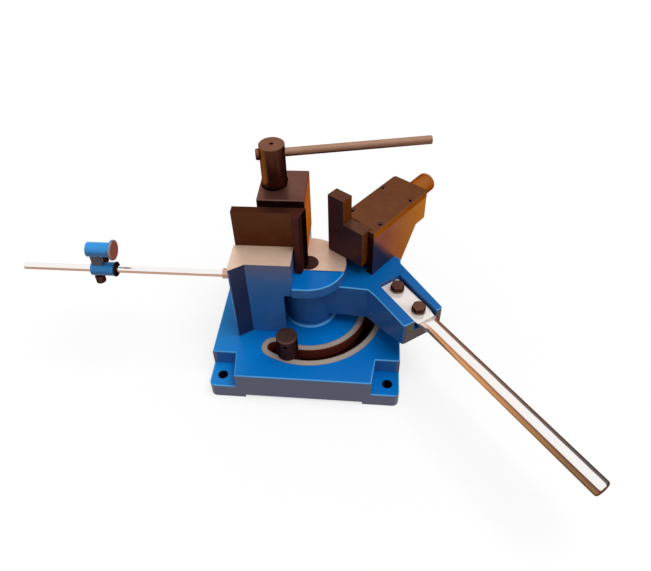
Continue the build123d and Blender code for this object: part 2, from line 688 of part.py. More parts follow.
def cover_plate():
    top = HOUSE_Z + COVER_T
    plate = block(HOUSE_FRONT, HOUSE_BACK, HOUSE_RIGHT, HOUSE_LEFT, HOUSE_Z, top)
    plate = fillet(plate.edges().filter_by(Axis.Z).group_by(Axis.X)[-1], HOUSE_CORNER)
    plate += cheek(HOUSE_Z, top)
    plate = chamfer(plate.edges().group_by(Axis.Z)[-1], EDGE)
    for x, y in cover_screw_places():
        plate -= post(COVER_SCREW_R + SEAT_GAP, HOUSE_Z - OVER, top + OVER, x, y)
        plate -= post(COVER_SCREW_HEAD_R + RUN, top - COVER_SCREW_HEAD, top + OVER, x, y)
    return ARM * plate


def cap_screw(x, y, z, radius, head_radius, head, length):
    # Socket cap screw with its head standing on height z.
    screw = post(head_radius, z, z + head, x, y) + post(radius, z - length, z, x, y)
    return screw - hexagon(radius * SOCKET, z + head / 2, z + head + OVER, x, y)


def cover_screws():
    z = HOUSE_Z + COVER_T - COVER_SCREW_HEAD
    head = COVER_SCREW_HEAD - BODY_GAP
    screws = []
    for x, y in cover_screw_places():
        screws.append(ARM * cap_screw(x, y, z, COVER_SCREW_R, COVER_SCREW_HEAD_R, head, COVER_SCREW_L))
    return Compound(children=screws)


def housing_screws():
    z = HOUSE_FLOOR - HOLD_SCREW_HEAD - BODY_GAP
    length = HOLD_SCREW_L - HOLD_SCREW_HEAD - BODY_GAP
    screws = []
    for x in HOLD_SCREW_X:
        for y in HOLD_SCREW_Y:
            screw = cap_screw(x, y, z, HOLD_SCREW_R, HOLD_SCREW_HEAD_R, HOLD_SCREW_HEAD, length)
            screws.append(ARM * screw)
    return Compound(children=screws)


def gib_strip():
    x1 = HOUSE_BACK - HOUSE_BACK_WALL - BODY_GAP
    y0 = RAM_LEFT + SLIDE_GAP
    strip = block(HOUSE_FRONT, x1, y0, y0 + GIB_T - SEAT_GAP, HOUSE_FLOOR + SEAT_GAP, HOUSE_Z - SEAT_GAP)
    return ARM * strip


def moving_jaw():
    low = TABLE_Z + JAW_LIFT
    back = FACE_X + HEAD_T
    jaw = block(FACE_X, back, HEAD_LEFT - COLUMN_W, HEAD_LEFT, low, JAW_TOP)
    jaw += block(FACE_X, back, HEAD_RIGHT, HEAD_LEFT, low, TABLE_Z + LOW_H)
    jaw += block(back - OVER, RAM_BACK, HEAD_RIGHT, RAM_LEFT, HOUSE_FLOOR + SLIDE_GAP, HOUSE_Z - SLIDE_GAP)
    jaw -= bar_x(SCREW_R + RUN, RAM_BACK - SCREW_BORE, RAM_BACK + OVER, SCREW_Y, SCREW_Z)
    return ARM * jaw


def adjusting_screw():
    inner = HOUSE_BACK - HOUSE_BACK_WALL
    screw = bar_x(SCREW_R, inner - SCREW_REACH, inner - SCREW_COLLAR_T, SCREW_Y, SCREW_Z)
    screw += bar_x(SCREW_COLLAR_R, inner - SCREW_COLLAR_T - RUN, inner - RUN, SCREW_Y, SCREW_Z)
    screw += bar_x(SCREW_NECK_R, inner - SCREW_COLLAR_T, HOUSE_BACK + KNOB_L / 2, SCREW_Y, SCREW_Z)
    return ARM * screw


def screw_knob():
    x0 = HOUSE_BACK + SLIDE_GAP
    knob = bar_x(KNOB_R, x0, x0 + KNOB_L, SCREW_Y, SCREW_Z)
    knob = fillet(knob.edges().group_by(Axis.X)[-1], KNOB_EDGE)
    knob -= bar_x(SCREW_NECK_R + SEAT_GAP, x0 - OVER, HOUSE_BACK + KNOB_L / 2 + SLIDE_GAP, SCREW_Y, SCREW_Z)
    return ARM * knob


def length_stop_rod():
    rod = bar_x(STOP_ROD_R, STOP_ROD_END, PILLAR_LEFT + STOP_ROD_IN, STOP_ROD_Y, STOP_ROD_Z)
    return chamfer(rod.edges(), EDGE)


def rod_jam_nut():
    nut = Rot(0, 90, 0) * hexagon(JAM_NUT_AF, -JAM_NUT_T, 0)
    nut -= bar_x(STOP_ROD_R + SEAT_GAP, -JAM_NUT_T - OVER, OVER, 0, 0)
    return Pos(PILLAR_LEFT - SEAT_GAP, STOP_ROD_Y, STOP_ROD_Z) * nut


def stop_bracket():
    bracket = bar_x(BRACKET_R, BRACKET_LEFT, BRACKET_RIGHT, STOP_ROD_Y, STOP_ROD_Z)
    nose_end = BRACKET_RIGHT + BRACKET_NOSE_L
    bracket += bar_x(BRACKET_NOSE_R, BRACKET_RIGHT - OVER, nose_end, STOP_ROD_Y, STOP_ROD_Z)
    bracket += bar_x(UPPER_R, UPPER_LEFT, UPPER_RIGHT, STOP_ROD_Y, UPPER_Z)
    half = WEB_T / 2
    web_left = UPPER_LEFT + EDGE
    bracket += block(web_left, web_left + WEB_L, STOP_ROD_Y - half, STOP_ROD_Y + half, STOP_ROD_Z, UPPER_Z)
    bracket -= bar_x(STOP_ROD_R + RUN, BRACKET_LEFT - OVER, nose_end + OVER, STOP_ROD_Y, STOP_ROD_Z)
    bracket -= bar_x(SPINDLE_R + RUN, UPPER_LEFT - OVER, UPPER_RIGHT + OVER, STOP_ROD_Y, UPPER_Z)
    thumb_x = BRACKET_LEFT + THUMB_AT
    bracket -= post(THUMB_R + RUN, STOP_ROD_Z - BRACKET_R - OVER, STOP_ROD_Z, thumb_x, STOP_ROD_Y)
    bracket -= post(LOCK_R + SEAT_GAP, UPPER_Z - UPPER_R - OVER, UPPER_Z, LOCK_X, STOP_ROD_Y)
    return bracket


def bracket_lock_nut():
    x0 = BRACKET_RIGHT + SEAT_GAP
    nut = bar_x(BRACKET_NUT_R, x0, x0 + BRACKET_NUT_L, STOP_ROD_Y, STOP_ROD_Z)
    nut = chamfer(nut.edges(), EDGE)
    nose_end = BRACKET_RIGHT + BRACKET_NOSE_L + SEAT_GAP
    nut -= bar_x(BRACKET_NOSE_R + SEAT_GAP, x0 - OVER, nose_end, STOP_ROD_Y, STOP_ROD_Z)
    return nut - bar_x(STOP_ROD_R + RUN, x0 - OVER, x0 + BRACKET_NUT_L + OVER, STOP_ROD_Y, STOP_ROD_Z)


def stop_disc():
    x0 = UPPER_RIGHT + DISC_STAND
    disc = bar_x(DISC_R, x0, x0 + DISC_T, STOP_ROD_Y, UPPER_Z)
    disc = chamfer(disc.edges(), EDGE)
    return disc + bar_x(SPINDLE_R, UPPER_LEFT, x0 + OVER, STOP_ROD_Y, UPPER_Z)


def spindle_lock_screw():
    # It presses on the spindle from below.
    seat = UPPER_Z - UPPER_R - LOCK_NECK
    screw = post(LOCK_R, seat - OVER, UPPER_Z - SPINDLE_R - SLIDE_GAP, LOCK_X, STOP_ROD_Y)
    head = post(LOCK_HEAD_R, seat - LOCK_HEAD, seat, LOCK_X, STOP_ROD_Y)
    return screw + chamfer(head.edges(), EDGE)


def thumb_screw():
    x = BRACKET_LEFT + THUMB_AT
    under = STOP_ROD_Z - BRACKET_R - THUMB_NECK
    screw = post(THUMB_R, under - OVER, STOP_ROD_Z - STOP_ROD_R - SLIDE_GAP, x, STOP_ROD_Y)
    head = post(THUMB_HEAD_R, under - THUMB_HEAD, under, x, STOP_ROD_Y)
    return screw + chamfer(head.edges(), EDGE)


PIECES = {
    "base_casting": base_casting,
    "pivot_pin": pivot_pin,
    "pivot_retaining_ring": pivot_retaining_ring,
    "thrust_washer": thrust_washer,
    "upper_pivot_bush": lambda: pivot_bush(ARM_TOP - BUSH_L),
    "lower_pivot_bush": lambda: pivot_bush(HUB_Z),
    "fixed_jaw": fixed_jaw,
    "fixed_jaw_screws": jaw_screws,
    "guide_key": guide_key,
    "guide_key_screws": guide_key_screws,
    "cam_bush": cam_bush,
    "clamp_block": clamp_block,
    "eccentric_shaft": eccentric_shaft,
    "handle_rod": handle_rod,
    "handle_nut": handle_nut,
    "handle_set_screw": handle_set_screw,
    "angle_stop_bolt": stop_t_bolt,
    "angle_stop_nut": stop_nut,
    "swing_arm": swing_arm,
    "lever": lever,
    "lever_washers": lever_washers,
    "lever_bolts": lever_bolts,
    "slide_housing": slide_housing,
    "housing_screws": housing_screws,
    "cover_plate": cover_plate,
    "cover_screws": cover_screws,
    "gib_strip": gib_strip,
    "moving_jaw": moving_jaw,
    "adjusting_screw": adjusting_screw,
    "screw_knob": screw_knob,
    "length_stop_rod": length_stop_rod,
    "rod_jam_nut": rod_jam_nut,
    "length_stop_bracket": stop_bracket,
    "bracket_lock_nut": bracket_lock_nut,
    "length_stop_disc": stop_disc,
    "spindle_lock_screw": spindle_lock_screw,
    "thumb_screw": thumb_screw,
}


os.makedirs("parts", exist_ok=True)
for name, make in PIECES.items():
    export_step(make(), f"parts/{name}.step")
    print(name)
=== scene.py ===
# %% [markdown]
# # A bench bender in the studio
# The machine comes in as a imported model: every casting, jaw, screw and rod is already a solid in its
# right place, in metres. What is left for this lesson is what the eye adds: the enamel on the rough
# castings, the bare milled faces, the blackened steel of the jaws, the bright lever, and the light.

# %% Load the machine
import math
import bpy
from mathutils import Matrix, Vector

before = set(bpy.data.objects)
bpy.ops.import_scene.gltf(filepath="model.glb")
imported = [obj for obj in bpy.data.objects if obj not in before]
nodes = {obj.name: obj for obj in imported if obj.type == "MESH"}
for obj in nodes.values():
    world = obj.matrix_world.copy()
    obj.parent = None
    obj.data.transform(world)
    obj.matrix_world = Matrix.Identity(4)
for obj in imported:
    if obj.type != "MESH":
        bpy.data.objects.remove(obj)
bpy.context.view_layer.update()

MM = 0.001
print("pieces of the machine:", len(nodes))

# %% [markdown]
# ## Small helpers
# Colours are read off as sRGB hex values, and Blender computes in linear light, so one function turns one
# into the other. A pattern's scale is worked out from the size of one grain in millimetres. Every node in
# every material is added by the same short function, which sets values and makes links. It takes a node in
# place of a socket, and then uses the one output of that node which is in use. A Mix node holds sockets for
# values, vectors and colours under the same names, so these are called by their numbers.

# %% Helpers
VALUE_A, VALUE_B, VECTOR_A, VECTOR_B, COLOUR_A, COLOUR_B = 2, 3, 4, 5, 6, 7
COLOUR_OUT = 2
# A place times this is the place as seen from above.
PLAN = (1.0, 1.0, 0.0)


def linear(hex_colour):
    """An sRGB hex value as linear red, green, blue and alpha."""
    parts = [int(hex_colour[i:i + 2], 16) / 255 for i in (1, 3, 5)]
    return [c / 12.92 if c <= 0.04045 else ((c + 0.055) / 1.055) ** 2.4 for c in parts] + [1.0]


def grain(size_mm):
    """The scale of a noise pattern whose grains are this many millimetres wide."""
    return 1 / (size_mm * MM)


def add(tree, kind, inputs=None, **settings):
    """Adds a node: inputs are values, sockets or nodes that feed it, settings are its own properties."""
    made = tree.nodes.new(kind)
    for name, value in settings.items():
        setattr(made, name, value)
    for socket, value in (inputs or {}).items():
        if isinstance(value, bpy.types.Node):
            value = next(out for out in value.outputs if out.enabled)
        if isinstance(value, bpy.types.NodeSocket):
            tree.links.new(value, made.inputs[socket])
        else:
            made.inputs[socket].default_value = value
    return made


def new_material(name):
    """A material with an empty node tree and its output node."""
    made = bpy.data.materials.new(name)
    made.use_nodes = True
    made.node_tree.nodes.clear()
    return made, made.node_tree, made.node_tree.nodes.new("ShaderNodeOutputMaterial")


def dress(material, *names):
    """Gives the named pieces this material."""
    for name in names:
        nodes[name].data.materials.clear()
        nodes[name].data.materials.append(material)
    print(material.name, "on", len(names), "pieces")


print("a middle blue in linear light:", [round(c, 3) for c in linear("#0A66B2")[:3]])

# %% [markdown]
# ## The camera
# The viewing angle was found by matching some thirty corners of the base, pillar and jaw: the camera
# stands 0.74 m up and 0.64 m in front, looks down 43 degrees, and is turned and tilted a little.
# The picture is 651 by 571 pixels, so focal length and centre are given in those pixels.

# %% Camera
IMAGE_W, IMAGE_H = 651, 571
FOCAL_PX = 600.1
CENTRE_PX = (300.9, 267.3)
EYE_MM = (84.6, -635.4, 741.3)
PITCH, YAW, ROLL = (math.radians(a) for a in (43.28, 8.61, -3.73))
SENSOR_MM = 36.0

level = Vector((math.cos(YAW), math.sin(YAW), 0))
rise = Vector((-math.sin(YAW) * math.sin(PITCH), math.cos(YAW) * math.sin(PITCH), math.cos(PITCH)))
ahead = Vector((-math.sin(YAW) * math.cos(PITCH), math.cos(YAW) * math.cos(PITCH), -math.sin(PITCH)))
right = math.cos(ROLL) * level + math.sin(ROLL) * rise
up = -math.sin(ROLL) * level + math.cos(ROLL) * rise

camera_data = bpy.data.cameras.new("camera")
camera_data.sensor_width = SENSOR_MM
camera_data.sensor_fit = "HORIZONTAL"
camera_data.lens = FOCAL_PX / IMAGE_W * SENSOR_MM
camera_data.shift_x = (IMAGE_W / 2 - CENTRE_PX[0]) / IMAGE_W
camera_data.shift_y = (CENTRE_PX[1] - IMAGE_H / 2) / IMAGE_W
camera = bpy.data.objects.new("camera", camera_data)
bpy.context.scene.collection.objects.link(camera)
turn = Matrix((right, up, -ahead)).transposed()
camera.matrix_world = Matrix.Translation(Vector(EYE_MM) * MM) @ turn.to_4x4()
bpy.context.scene.camera = camera
print("lens", round(camera_data.lens, 2), "mm")
print("shift", round(camera_data.shift_x, 4), round(camera_data.shift_y, 4))

# %% [markdown]
# ## Blue enamel on sand-cast iron
# The base, the swing arm and the bracket of the length stop are iron castings, sprayed with a thick glossy
# enamel. The sand mould leaves soft waves under the paint, and the paint itself dries with a fine orange
# peel: two bumps of two noise sizes. A third, larger noise lets the colour drift, as where the coat is
# thinner. The colour has three tones, laid by how far a surface looks up: 0 is a wall, 1 is a top, and the
# rounded edges lie between. The greyer wall tone is a painted reflection of the brown bench, and the pale
# edge tone is a painted highlight on the rounded edges. Enamel is no metal, and its shine is kept low.

# %% Blue enamel
ENAMEL_TOP, ENAMEL_WALL_REFLECTION, ENAMEL_EDGE_HIGHLIGHT = "#0069B8", "#2E68AA", "#62B2EA"
ENAMEL_SHINE = 0.2
ENAMEL_GLOSSY, ENAMEL_DULL = 0.24, 0.36
TOP_FROM, TOP_FULL = 0.3, 0.95
EDGE_FROM, EDGE_FULL = 0.1, 0.4
EDGE_FADES, EDGE_ENDS = 0.9, 0.985
HIGHLIGHT_SHARE = 0.7
ENAMEL_DRIFT_MM = 55.0
COAT_THIN, COAT_THICK = 0.85, 1.1
CAST_WAVE_MM, CAST_WAVE_DEPTH_MM, CAST_WAVE_STRENGTH = 14.0, 0.8, 0.25
ORANGE_PEEL_MM, ORANGE_PEEL_DEPTH_MM, ORANGE_PEEL_STRENGTH = 2.2, 0.15, 0.12


def blue_enamel(tree, top, wall_reflection, highlight):
    """The nodes that give the enamel's colour, its roughness and its bumped normal."""
    coords = add(tree, "ShaderNodeTexCoord")
    place = coords.outputs["Object"]
    rises = add(tree, "ShaderNodeSeparateXYZ", {0: coords.outputs["Normal"]}).outputs["Z"]
    upward = add(tree, "ShaderNodeMapRange", {"Value": rises, "From Min": TOP_FROM, "From Max": TOP_FULL},
                 interpolation_type="SMOOTHSTEP")
    off_wall = add(tree, "ShaderNodeMapRange", {"Value": rises, "From Min": EDGE_FROM, "From Max": EDGE_FULL})
    off_top = add(tree, "ShaderNodeMapRange", {"Value": rises, "From Min": EDGE_ENDS, "From Max": EDGE_FADES})
    rounded = add(tree, "ShaderNodeMath", {0: off_wall, 1: off_top}, operation="MULTIPLY")
    highlighted = add(tree, "ShaderNodeMath", {0: rounded, 1: HIGHLIGHT_SHARE}, operation="MULTIPLY")
    # The wall tone is a painted reflection and the edge tone a painted highlight.
    tone = add(tree, "ShaderNodeMix",
               {"Factor": upward, COLOUR_A: linear(wall_reflection), COLOUR_B: linear(top)}, data_type="RGBA")
    tone = add(tree, "ShaderNodeMix",
               {"Factor": highlighted, COLOUR_A: tone, COLOUR_B: linear(highlight)}, data_type="RGBA")
    drift = add(tree, "ShaderNodeTexNoise", {"Vector": place, "Scale": grain(ENAMEL_DRIFT_MM), "Detail": 3.0})
    coat = add(tree, "ShaderNodeMapRange",
               {"Value": drift.outputs[0], "To Min": COAT_THIN, "To Max": COAT_THICK})
    colour = add(tree, "ShaderNodeVectorMath", {0: tone, "Scale": coat}, operation="SCALE")
    rough = add(tree, "ShaderNodeMapRange",
                {"Value": drift.outputs[0], "To Min": ENAMEL_GLOSSY, "To Max": ENAMEL_DULL})
    wave = add(tree, "ShaderNodeTexNoise", {"Vector": place, "Scale": grain(CAST_WAVE_MM), "Detail": 2.0})
    peel = add(tree, "ShaderNodeTexNoise", {"Vector": place, "Scale": grain(ORANGE_PEEL_MM)})
    low = add(tree, "ShaderNodeBump",
              {"Strength": CAST_WAVE_STRENGTH, "Distance": CAST_WAVE_DEPTH_MM * MM,
               "Height": wave.outputs[0]})
    fine = add(tree, "ShaderNodeBump",
               {"Strength": ORANGE_PEEL_STRENGTH, "Distance": ORANGE_PEEL_DEPTH_MM * MM,
                "Height": peel.outputs[0], "Normal": low})
    return colour, rough, fine


print("enamel: cast waves of", CAST_WAVE_MM, "mm under an orange peel of", ORANGE_PEEL_MM, "mm")

# %% [markdown]
# ## The bracket of the length stop
# The bracket is the first piece to get the enamel, in a fresher and lighter blue. The web between its two
# bosses is painted grey, as painted shade between the bosses. A painted picture could carry that, but the
# web is a plain layer of the casting, so its height is enough to find it, at any size of picture.

# %% Bracket
BRACKET_TOP, BRACKET_WALL_REFLECTION, BRACKET_EDGE_HIGHLIGHT = "#2F90DC", "#3674B4", "#3A98DC"
WEB_SHADE = "#5C565C"
WEB_MIDDLE_MM, WEB_HALF_MM = 181.5, 8.0

bracket_finish, tree, output = new_material("fresh blue enamel on the bracket")
colour, rough, bumped = blue_enamel(tree, BRACKET_TOP, BRACKET_WALL_REFLECTION, BRACKET_EDGE_HIGHLIGHT)
place = add(tree, "ShaderNodeTexCoord").outputs["Object"]
height = add(tree, "ShaderNodeSeparateXYZ", {0: place}).outputs["Z"]
# Painted shade on the web between the two bosses.
web = add(tree, "ShaderNodeMath",
          {0: height, 1: WEB_MIDDLE_MM * MM, 2: WEB_HALF_MM * MM}, operation="COMPARE")
skin = add(tree, "ShaderNodeMix",
           {"Factor": web, COLOUR_A: colour, COLOUR_B: linear(WEB_SHADE)}, data_type="RGBA")
coat = add(tree, "ShaderNodeBsdfPrincipled",
           {"Base Color": skin, "Roughness": rough, "Normal": bumped, "Specular IOR Level": ENAMEL_SHINE})
tree.links.new(coat.outputs[0], output.inputs[0])
dress(bracket_finish, "length_stop_bracket")

# %% [markdown]
# ## The swing arm
# The arm has the same enamel; the blue of its top is darker than the base's, as painted shade from the
# housing. Only at the end of the lever's seat, the small face that looks along the lever, the blue turns
# brown, as a painted warm reflection of the bench. That face is found by the way it looks and by its
# distance from the pivot, so the brown fades out over the rounded edge instead of stopping at a seam.

# %% Swing arm
# The darker top blue is painted shade from the housing.
ARM_TOP_SHADED, ARM_WALL_REFLECTION = "#065DA2", "#2C5E9C"
LEVER_WAY = (0.588, -0.809, 0.0)
SEAT_END_FROM_MM = 160.0
END_FROM, END_FULL = 0.88, 0.97
SEAT_END_REFLECTION = "#4E3C34"

arm_finish, tree, output = new_material("blue enamel on the swing arm")
colour, rough, bumped = blue_enamel(tree, ARM_TOP_SHADED, ARM_WALL_REFLECTION, ENAMEL_EDGE_HIGHLIGHT)
coords = add(tree, "ShaderNodeTexCoord")
along = add(tree, "ShaderNodeVectorMath",
            {0: coords.outputs["Normal"], 1: LEVER_WAY}, operation="DOT_PRODUCT").outputs["Value"]
plan = add(tree, "ShaderNodeVectorMath", {0: coords.outputs["Object"], 1: PLAN}, operation="MULTIPLY")
reach = add(tree, "ShaderNodeVectorMath", {0: plan}, operation="LENGTH").outputs["Value"]
far = add(tree, "ShaderNodeMath", {0: reach, 1: SEAT_END_FROM_MM * MM}, operation="GREATER_THAN")
# The brown on the seat's end face is a painted warm reflection of the bench.
end = add(tree, "ShaderNodeMapRange", {"Value": along, "From Min": END_FROM, "From Max": END_FULL})
worn = add(tree, "ShaderNodeMath", {0: end, 1: far}, operation="MULTIPLY")
skin = add(tree, "ShaderNodeMix",
           {"Factor": worn, COLOUR_A: colour, COLOUR_B: linear(SEAT_END_REFLECTION)}, data_type="RGBA")
coat = add(tree, "ShaderNodeBsdfPrincipled",
           {"Base Color": skin, "Roughness": rough, "Normal": bumped, "Specular IOR Level": ENAMEL_SHINE})
tree.links.new(coat.outputs[0], output.inputs[0])
dress(arm_finish, "swing_arm")

# %% [markdown]
# ## The base: where the milled tops and the milled side lie
# On the base some faces were milled after painting: the table, the top of the pillar, its left side, and
# a band round the curved slot. Each could get a material of its own, but the solid is one mesh whose faces
# have no names, so they are found by where they lie, in the casting's own coordinates. This cell finds the
# first three by the height of the table and pillar top and by the plane of the left side.

# %% Milled tops and side of the base
TABLE_Z, PILLAR_Z, LEFT_X = 146.0, 186.5, -104.0
MILLED_FROM_Y = -15.5
SLAB_Z, OVER_SLAB = 50.0, 1.0
NEAR = 0.45
LOOKS_UP = 0.7

base_finish, tree, output = new_material("enamelled casting with milled faces")
colour, rough, bumped = blue_enamel(tree, ENAMEL_TOP, ENAMEL_WALL_REFLECTION, ENAMEL_EDGE_HIGHLIGHT)
coords = add(tree, "ShaderNodeTexCoord")
place = coords.outputs["Object"]
x, y, z = add(tree, "ShaderNodeSeparateXYZ", {0: place}).outputs
rises = add(tree, "ShaderNodeSeparateXYZ", {0: coords.outputs["Normal"]}).outputs["Z"]
flat = add(tree, "ShaderNodeMath", {0: rises, 1: LOOKS_UP}, operation="GREATER_THAN")

table = add(tree, "ShaderNodeMath", {0: z, 1: TABLE_Z * MM, 2: NEAR * MM}, operation="COMPARE")
behind = add(tree, "ShaderNodeMath", {0: y, 1: MILLED_FROM_Y * MM}, operation="GREATER_THAN")
table = add(tree, "ShaderNodeMath", {0: table, 1: behind}, operation="MULTIPLY")
pillar = add(tree, "ShaderNodeMath", {0: z, 1: PILLAR_Z * MM, 2: NEAR * MM}, operation="COMPARE")
tops = add(tree, "ShaderNodeMath", {0: table, 1: pillar}, operation="MAXIMUM")
tops = add(tree, "ShaderNodeMath", {0: tops, 1: flat}, operation="MULTIPLY")

left = add(tree, "ShaderNodeMath", {0: x, 1: LEFT_X * MM, 2: NEAR * MM}, operation="COMPARE")
above = add(tree, "ShaderNodeMath", {0: z, 1: (SLAB_Z + OVER_SLAB) * MM}, operation="GREATER_THAN")
left = add(tree, "ShaderNodeMath", {0: left, 1: above}, operation="MULTIPLY")
print("milled: table at", TABLE_Z, "mm, pillar at", PILLAR_Z, "mm, left side at", LEFT_X, "mm")

# %% [markdown]
# ## The base: the band round the curved slot
# The band is found by the distance from the slot's middle line, an arc round the pivot. Past either end of
# the arc, that is the distance from its end point: outside the arc's sector a metre is added to the
# distance from the arc, so the nearer of the two end points wins. A small noise lets the band's edge wander.

# %% Band round the slot
SLOT_R, SLOT_BAND = 94.5, 18.4
SLOT_FROM, SLOT_TO = math.radians(-120.0), math.radians(-6.0)
EDGE_WANDER_MM, WANDER_GRAIN_MM = 1.2, 9.0

plan = add(tree, "ShaderNodeVectorMath", {0: place, 1: PLAN}, operation="MULTIPLY")
radius = add(tree, "ShaderNodeVectorMath", {0: plan}, operation="LENGTH").outputs["Value"]
wander = add(tree, "ShaderNodeTexNoise", {"Vector": place, "Scale": grain(WANDER_GRAIN_MM)})
half = add(tree, "ShaderNodeMath",
           {0: wander.outputs[0], 1: EDGE_WANDER_MM * MM, 2: (SLOT_BAND - EDGE_WANDER_MM / 2) * MM},
           operation="MULTIPLY_ADD")
from_slot = add(tree, "ShaderNodeMath", {0: radius, 1: SLOT_R * MM}, operation="SUBTRACT")
from_slot = add(tree, "ShaderNodeMath", {0: from_slot}, operation="ABSOLUTE")
angle = add(tree, "ShaderNodeMath", {0: y, 1: x}, operation="ARCTAN2")
sector = add(tree, "ShaderNodeMath",
             {0: angle, 1: (SLOT_FROM + SLOT_TO) / 2, 2: (SLOT_TO - SLOT_FROM) / 2}, operation="COMPARE")
off_sector = add(tree, "ShaderNodeMath", {0: 1.0, 1: sector}, operation="SUBTRACT")
from_slot = add(tree, "ShaderNodeMath", {0: from_slot, 1: off_sector}, operation="ADD")
for end in (SLOT_FROM, SLOT_TO):
    centre = (SLOT_R * MM * math.cos(end), SLOT_R * MM * math.sin(end), 0.0)
    off_end = add(tree, "ShaderNodeVectorMath", {0: plan, 1: centre}, operation="DISTANCE").outputs["Value"]
    from_slot = add(tree, "ShaderNodeMath", {0: from_slot, 1: off_end}, operation="MINIMUM")
band = add(tree, "ShaderNodeMath", {0: from_slot, 1: half}, operation="LESS_THAN")
below = add(tree, "ShaderNodeMath", {0: z, 1: (SLAB_Z + NEAR) * MM}, operation="LESS_THAN")
band = add(tree, "ShaderNodeMath", {0: band, 1: below}, operation="MULTIPLY")
bare = add(tree, "ShaderNodeMath", {0: tops, 1: left}, operation="MAXIMUM")
bare = add(tree, "ShaderNodeMath", {0: bare, 1: band}, operation="MAXIMUM")
print("slot band", 2 * SLOT_BAND, "mm wide")

# %% [markdown]
# ## The base: bare iron
# Milled grey iron is a metal with fine parallel cutter marks, warm and pale, and a little stained. The band
# round the slot is worn by the stop nut, and rusty along both its edges. The cutter marks are far too fine to
# be modelled, so a wave texture bumps the surface.

# %% Bare iron of the base
MILLED_IRON, MILLED_STAIN = "#F0D2BA", "#DAB8A2"
BAND_IRON, BAND_RUST = "#B8AA9C", "#8A6A50"
BAND_MIDDLE_MM, RUST_FROM_MM, RUST_FULL_MM = 13.9, 2.5, 5.5
IRON_SMOOTH, IRON_DULL = 0.34, 0.5
STAIN_MM = 22.0
# A real cutter leaves marks about 1 mm apart; they are drawn coarser, so that they show.
CUTTER_MM, CUTTER_DEPTH_MM, CUTTER_STRENGTH, CUTTER_WAVER = 4.0, 0.05, 0.08, 0.6
# At a scale of 1, Blender's wave texture repeats after this length.
WAVE_PERIOD = 2 * math.pi / 20

stain = add(tree, "ShaderNodeTexNoise", {"Vector": place, "Scale": grain(STAIN_MM), "Detail": 5.0})
iron = add(tree, "ShaderNodeMix",
           {"Factor": stain.outputs[0], COLOUR_A: linear(MILLED_IRON), COLOUR_B: linear(MILLED_STAIN)},
           data_type="RGBA")
off_middle = add(tree, "ShaderNodeMath", {0: from_slot, 1: BAND_MIDDLE_MM * MM}, operation="SUBTRACT")
off_middle = add(tree, "ShaderNodeMath", {0: off_middle}, operation="ABSOLUTE")
rusty = add(tree, "ShaderNodeMapRange",
            {"Value": off_middle, "From Min": RUST_FROM_MM * MM, "From Max": RUST_FULL_MM * MM})
worn = add(tree, "ShaderNodeMix",
           {"Factor": rusty, COLOUR_A: linear(BAND_IRON), COLOUR_B: linear(BAND_RUST)}, data_type="RGBA")
iron = add(tree, "ShaderNodeMix", {"Factor": band, COLOUR_A: iron, COLOUR_B: worn}, data_type="RGBA")
iron_rough = add(tree, "ShaderNodeMapRange",
                 {"Value": stain.outputs[0], "To Min": IRON_SMOOTH, "To Max": IRON_DULL})
cutter = add(tree, "ShaderNodeTexWave",
             {"Vector": place, "Scale": WAVE_PERIOD * grain(CUTTER_MM), "Distortion": CUTTER_WAVER},
             bands_direction="Y")
marks = add(tree, "ShaderNodeBump",
            {"Strength": CUTTER_STRENGTH, "Distance": CUTTER_DEPTH_MM * MM, "Height": cutter.outputs[0]})
print("cutter marks", CUTTER_MM, "mm apart")

# %% [markdown]
# ## The base: painted shade in the slot and the holes
# Down in the slot the walls are darkened as painted shade, and so are the four bolt holes. The holes
# lie the same way in each quarter of the plate, so one quarter stands for all.

# %% Painted shade in the slot and the bolt holes
# Both colours are painted shade in recesses.
SLOT_SHADE, HOLE_SHADE = "#6E3024", "#101A30"
BOLT_X, BOLT_Y, BOLT_R = 120.0, 118.0, 7.0

deep = add(tree, "ShaderNodeMath", {0: z, 1: (SLAB_Z - NEAR) * MM}, operation="LESS_THAN")
slot_shade = add(tree, "ShaderNodeMath", {0: deep, 1: band}, operation="MULTIPLY")
quarter = add(tree, "ShaderNodeVectorMath", {0: plan}, operation="ABSOLUTE")
to_bolt = add(tree, "ShaderNodeVectorMath",
              {0: quarter, 1: (BOLT_X * MM, BOLT_Y * MM, 0.0)}, operation="DISTANCE").outputs["Value"]
hole_shade = add(tree, "ShaderNodeMath", {0: to_bolt, 1: (BOLT_R + NEAR) * MM}, operation="LESS_THAN")
print("bolt holes at", BOLT_X, "and", BOLT_Y, "mm")

# %% [markdown]
# ## The base: painted reflections, sheen and highlights on the enamel
# The outer walls of the slab turn grey, as a painted reflection of the brown bench, and the top of the
# pillar's front is greyer too. The slanted side of the pillar's rib is darker, as a painted reflection of
# the bench. To the left the top of the base is a lighter blue, as a painted sheen, and the edges of the
# ears get a painted highlight. Each is a mask by place and by the way a face looks.

# %% Painted reflections, sheen and highlights on the base
SLAB_X, SLAB_Y = 137.0, 138.0
OUTER_FROM = 0.96
WALL_UNTIL, WALL_FULL = 0.4, 0.1
LEFT_SHEEN_BLUE, SHEEN_FROM_X, SHEEN_SHARE = "#1585CC", -60.0, 0.6
SLAB_WALL_REFLECTION, PILLAR_FRONT_GREY, GREY_FROM_MM = "#626886", "#616887", 150.0
RIB_REFLECTION, RIB_WAY, RIB_RIGHT = "#202D50", (0.55, -0.835, 0.0), -80.0
SLANT_FROM, SLANT_FULL = 0.94, 0.99
EAR_Z, EAR_HIGHLIGHT_MM = 24.0, 1.5
EAR_FROM_X, EAR_FROM_Y = 97.0, 96.0

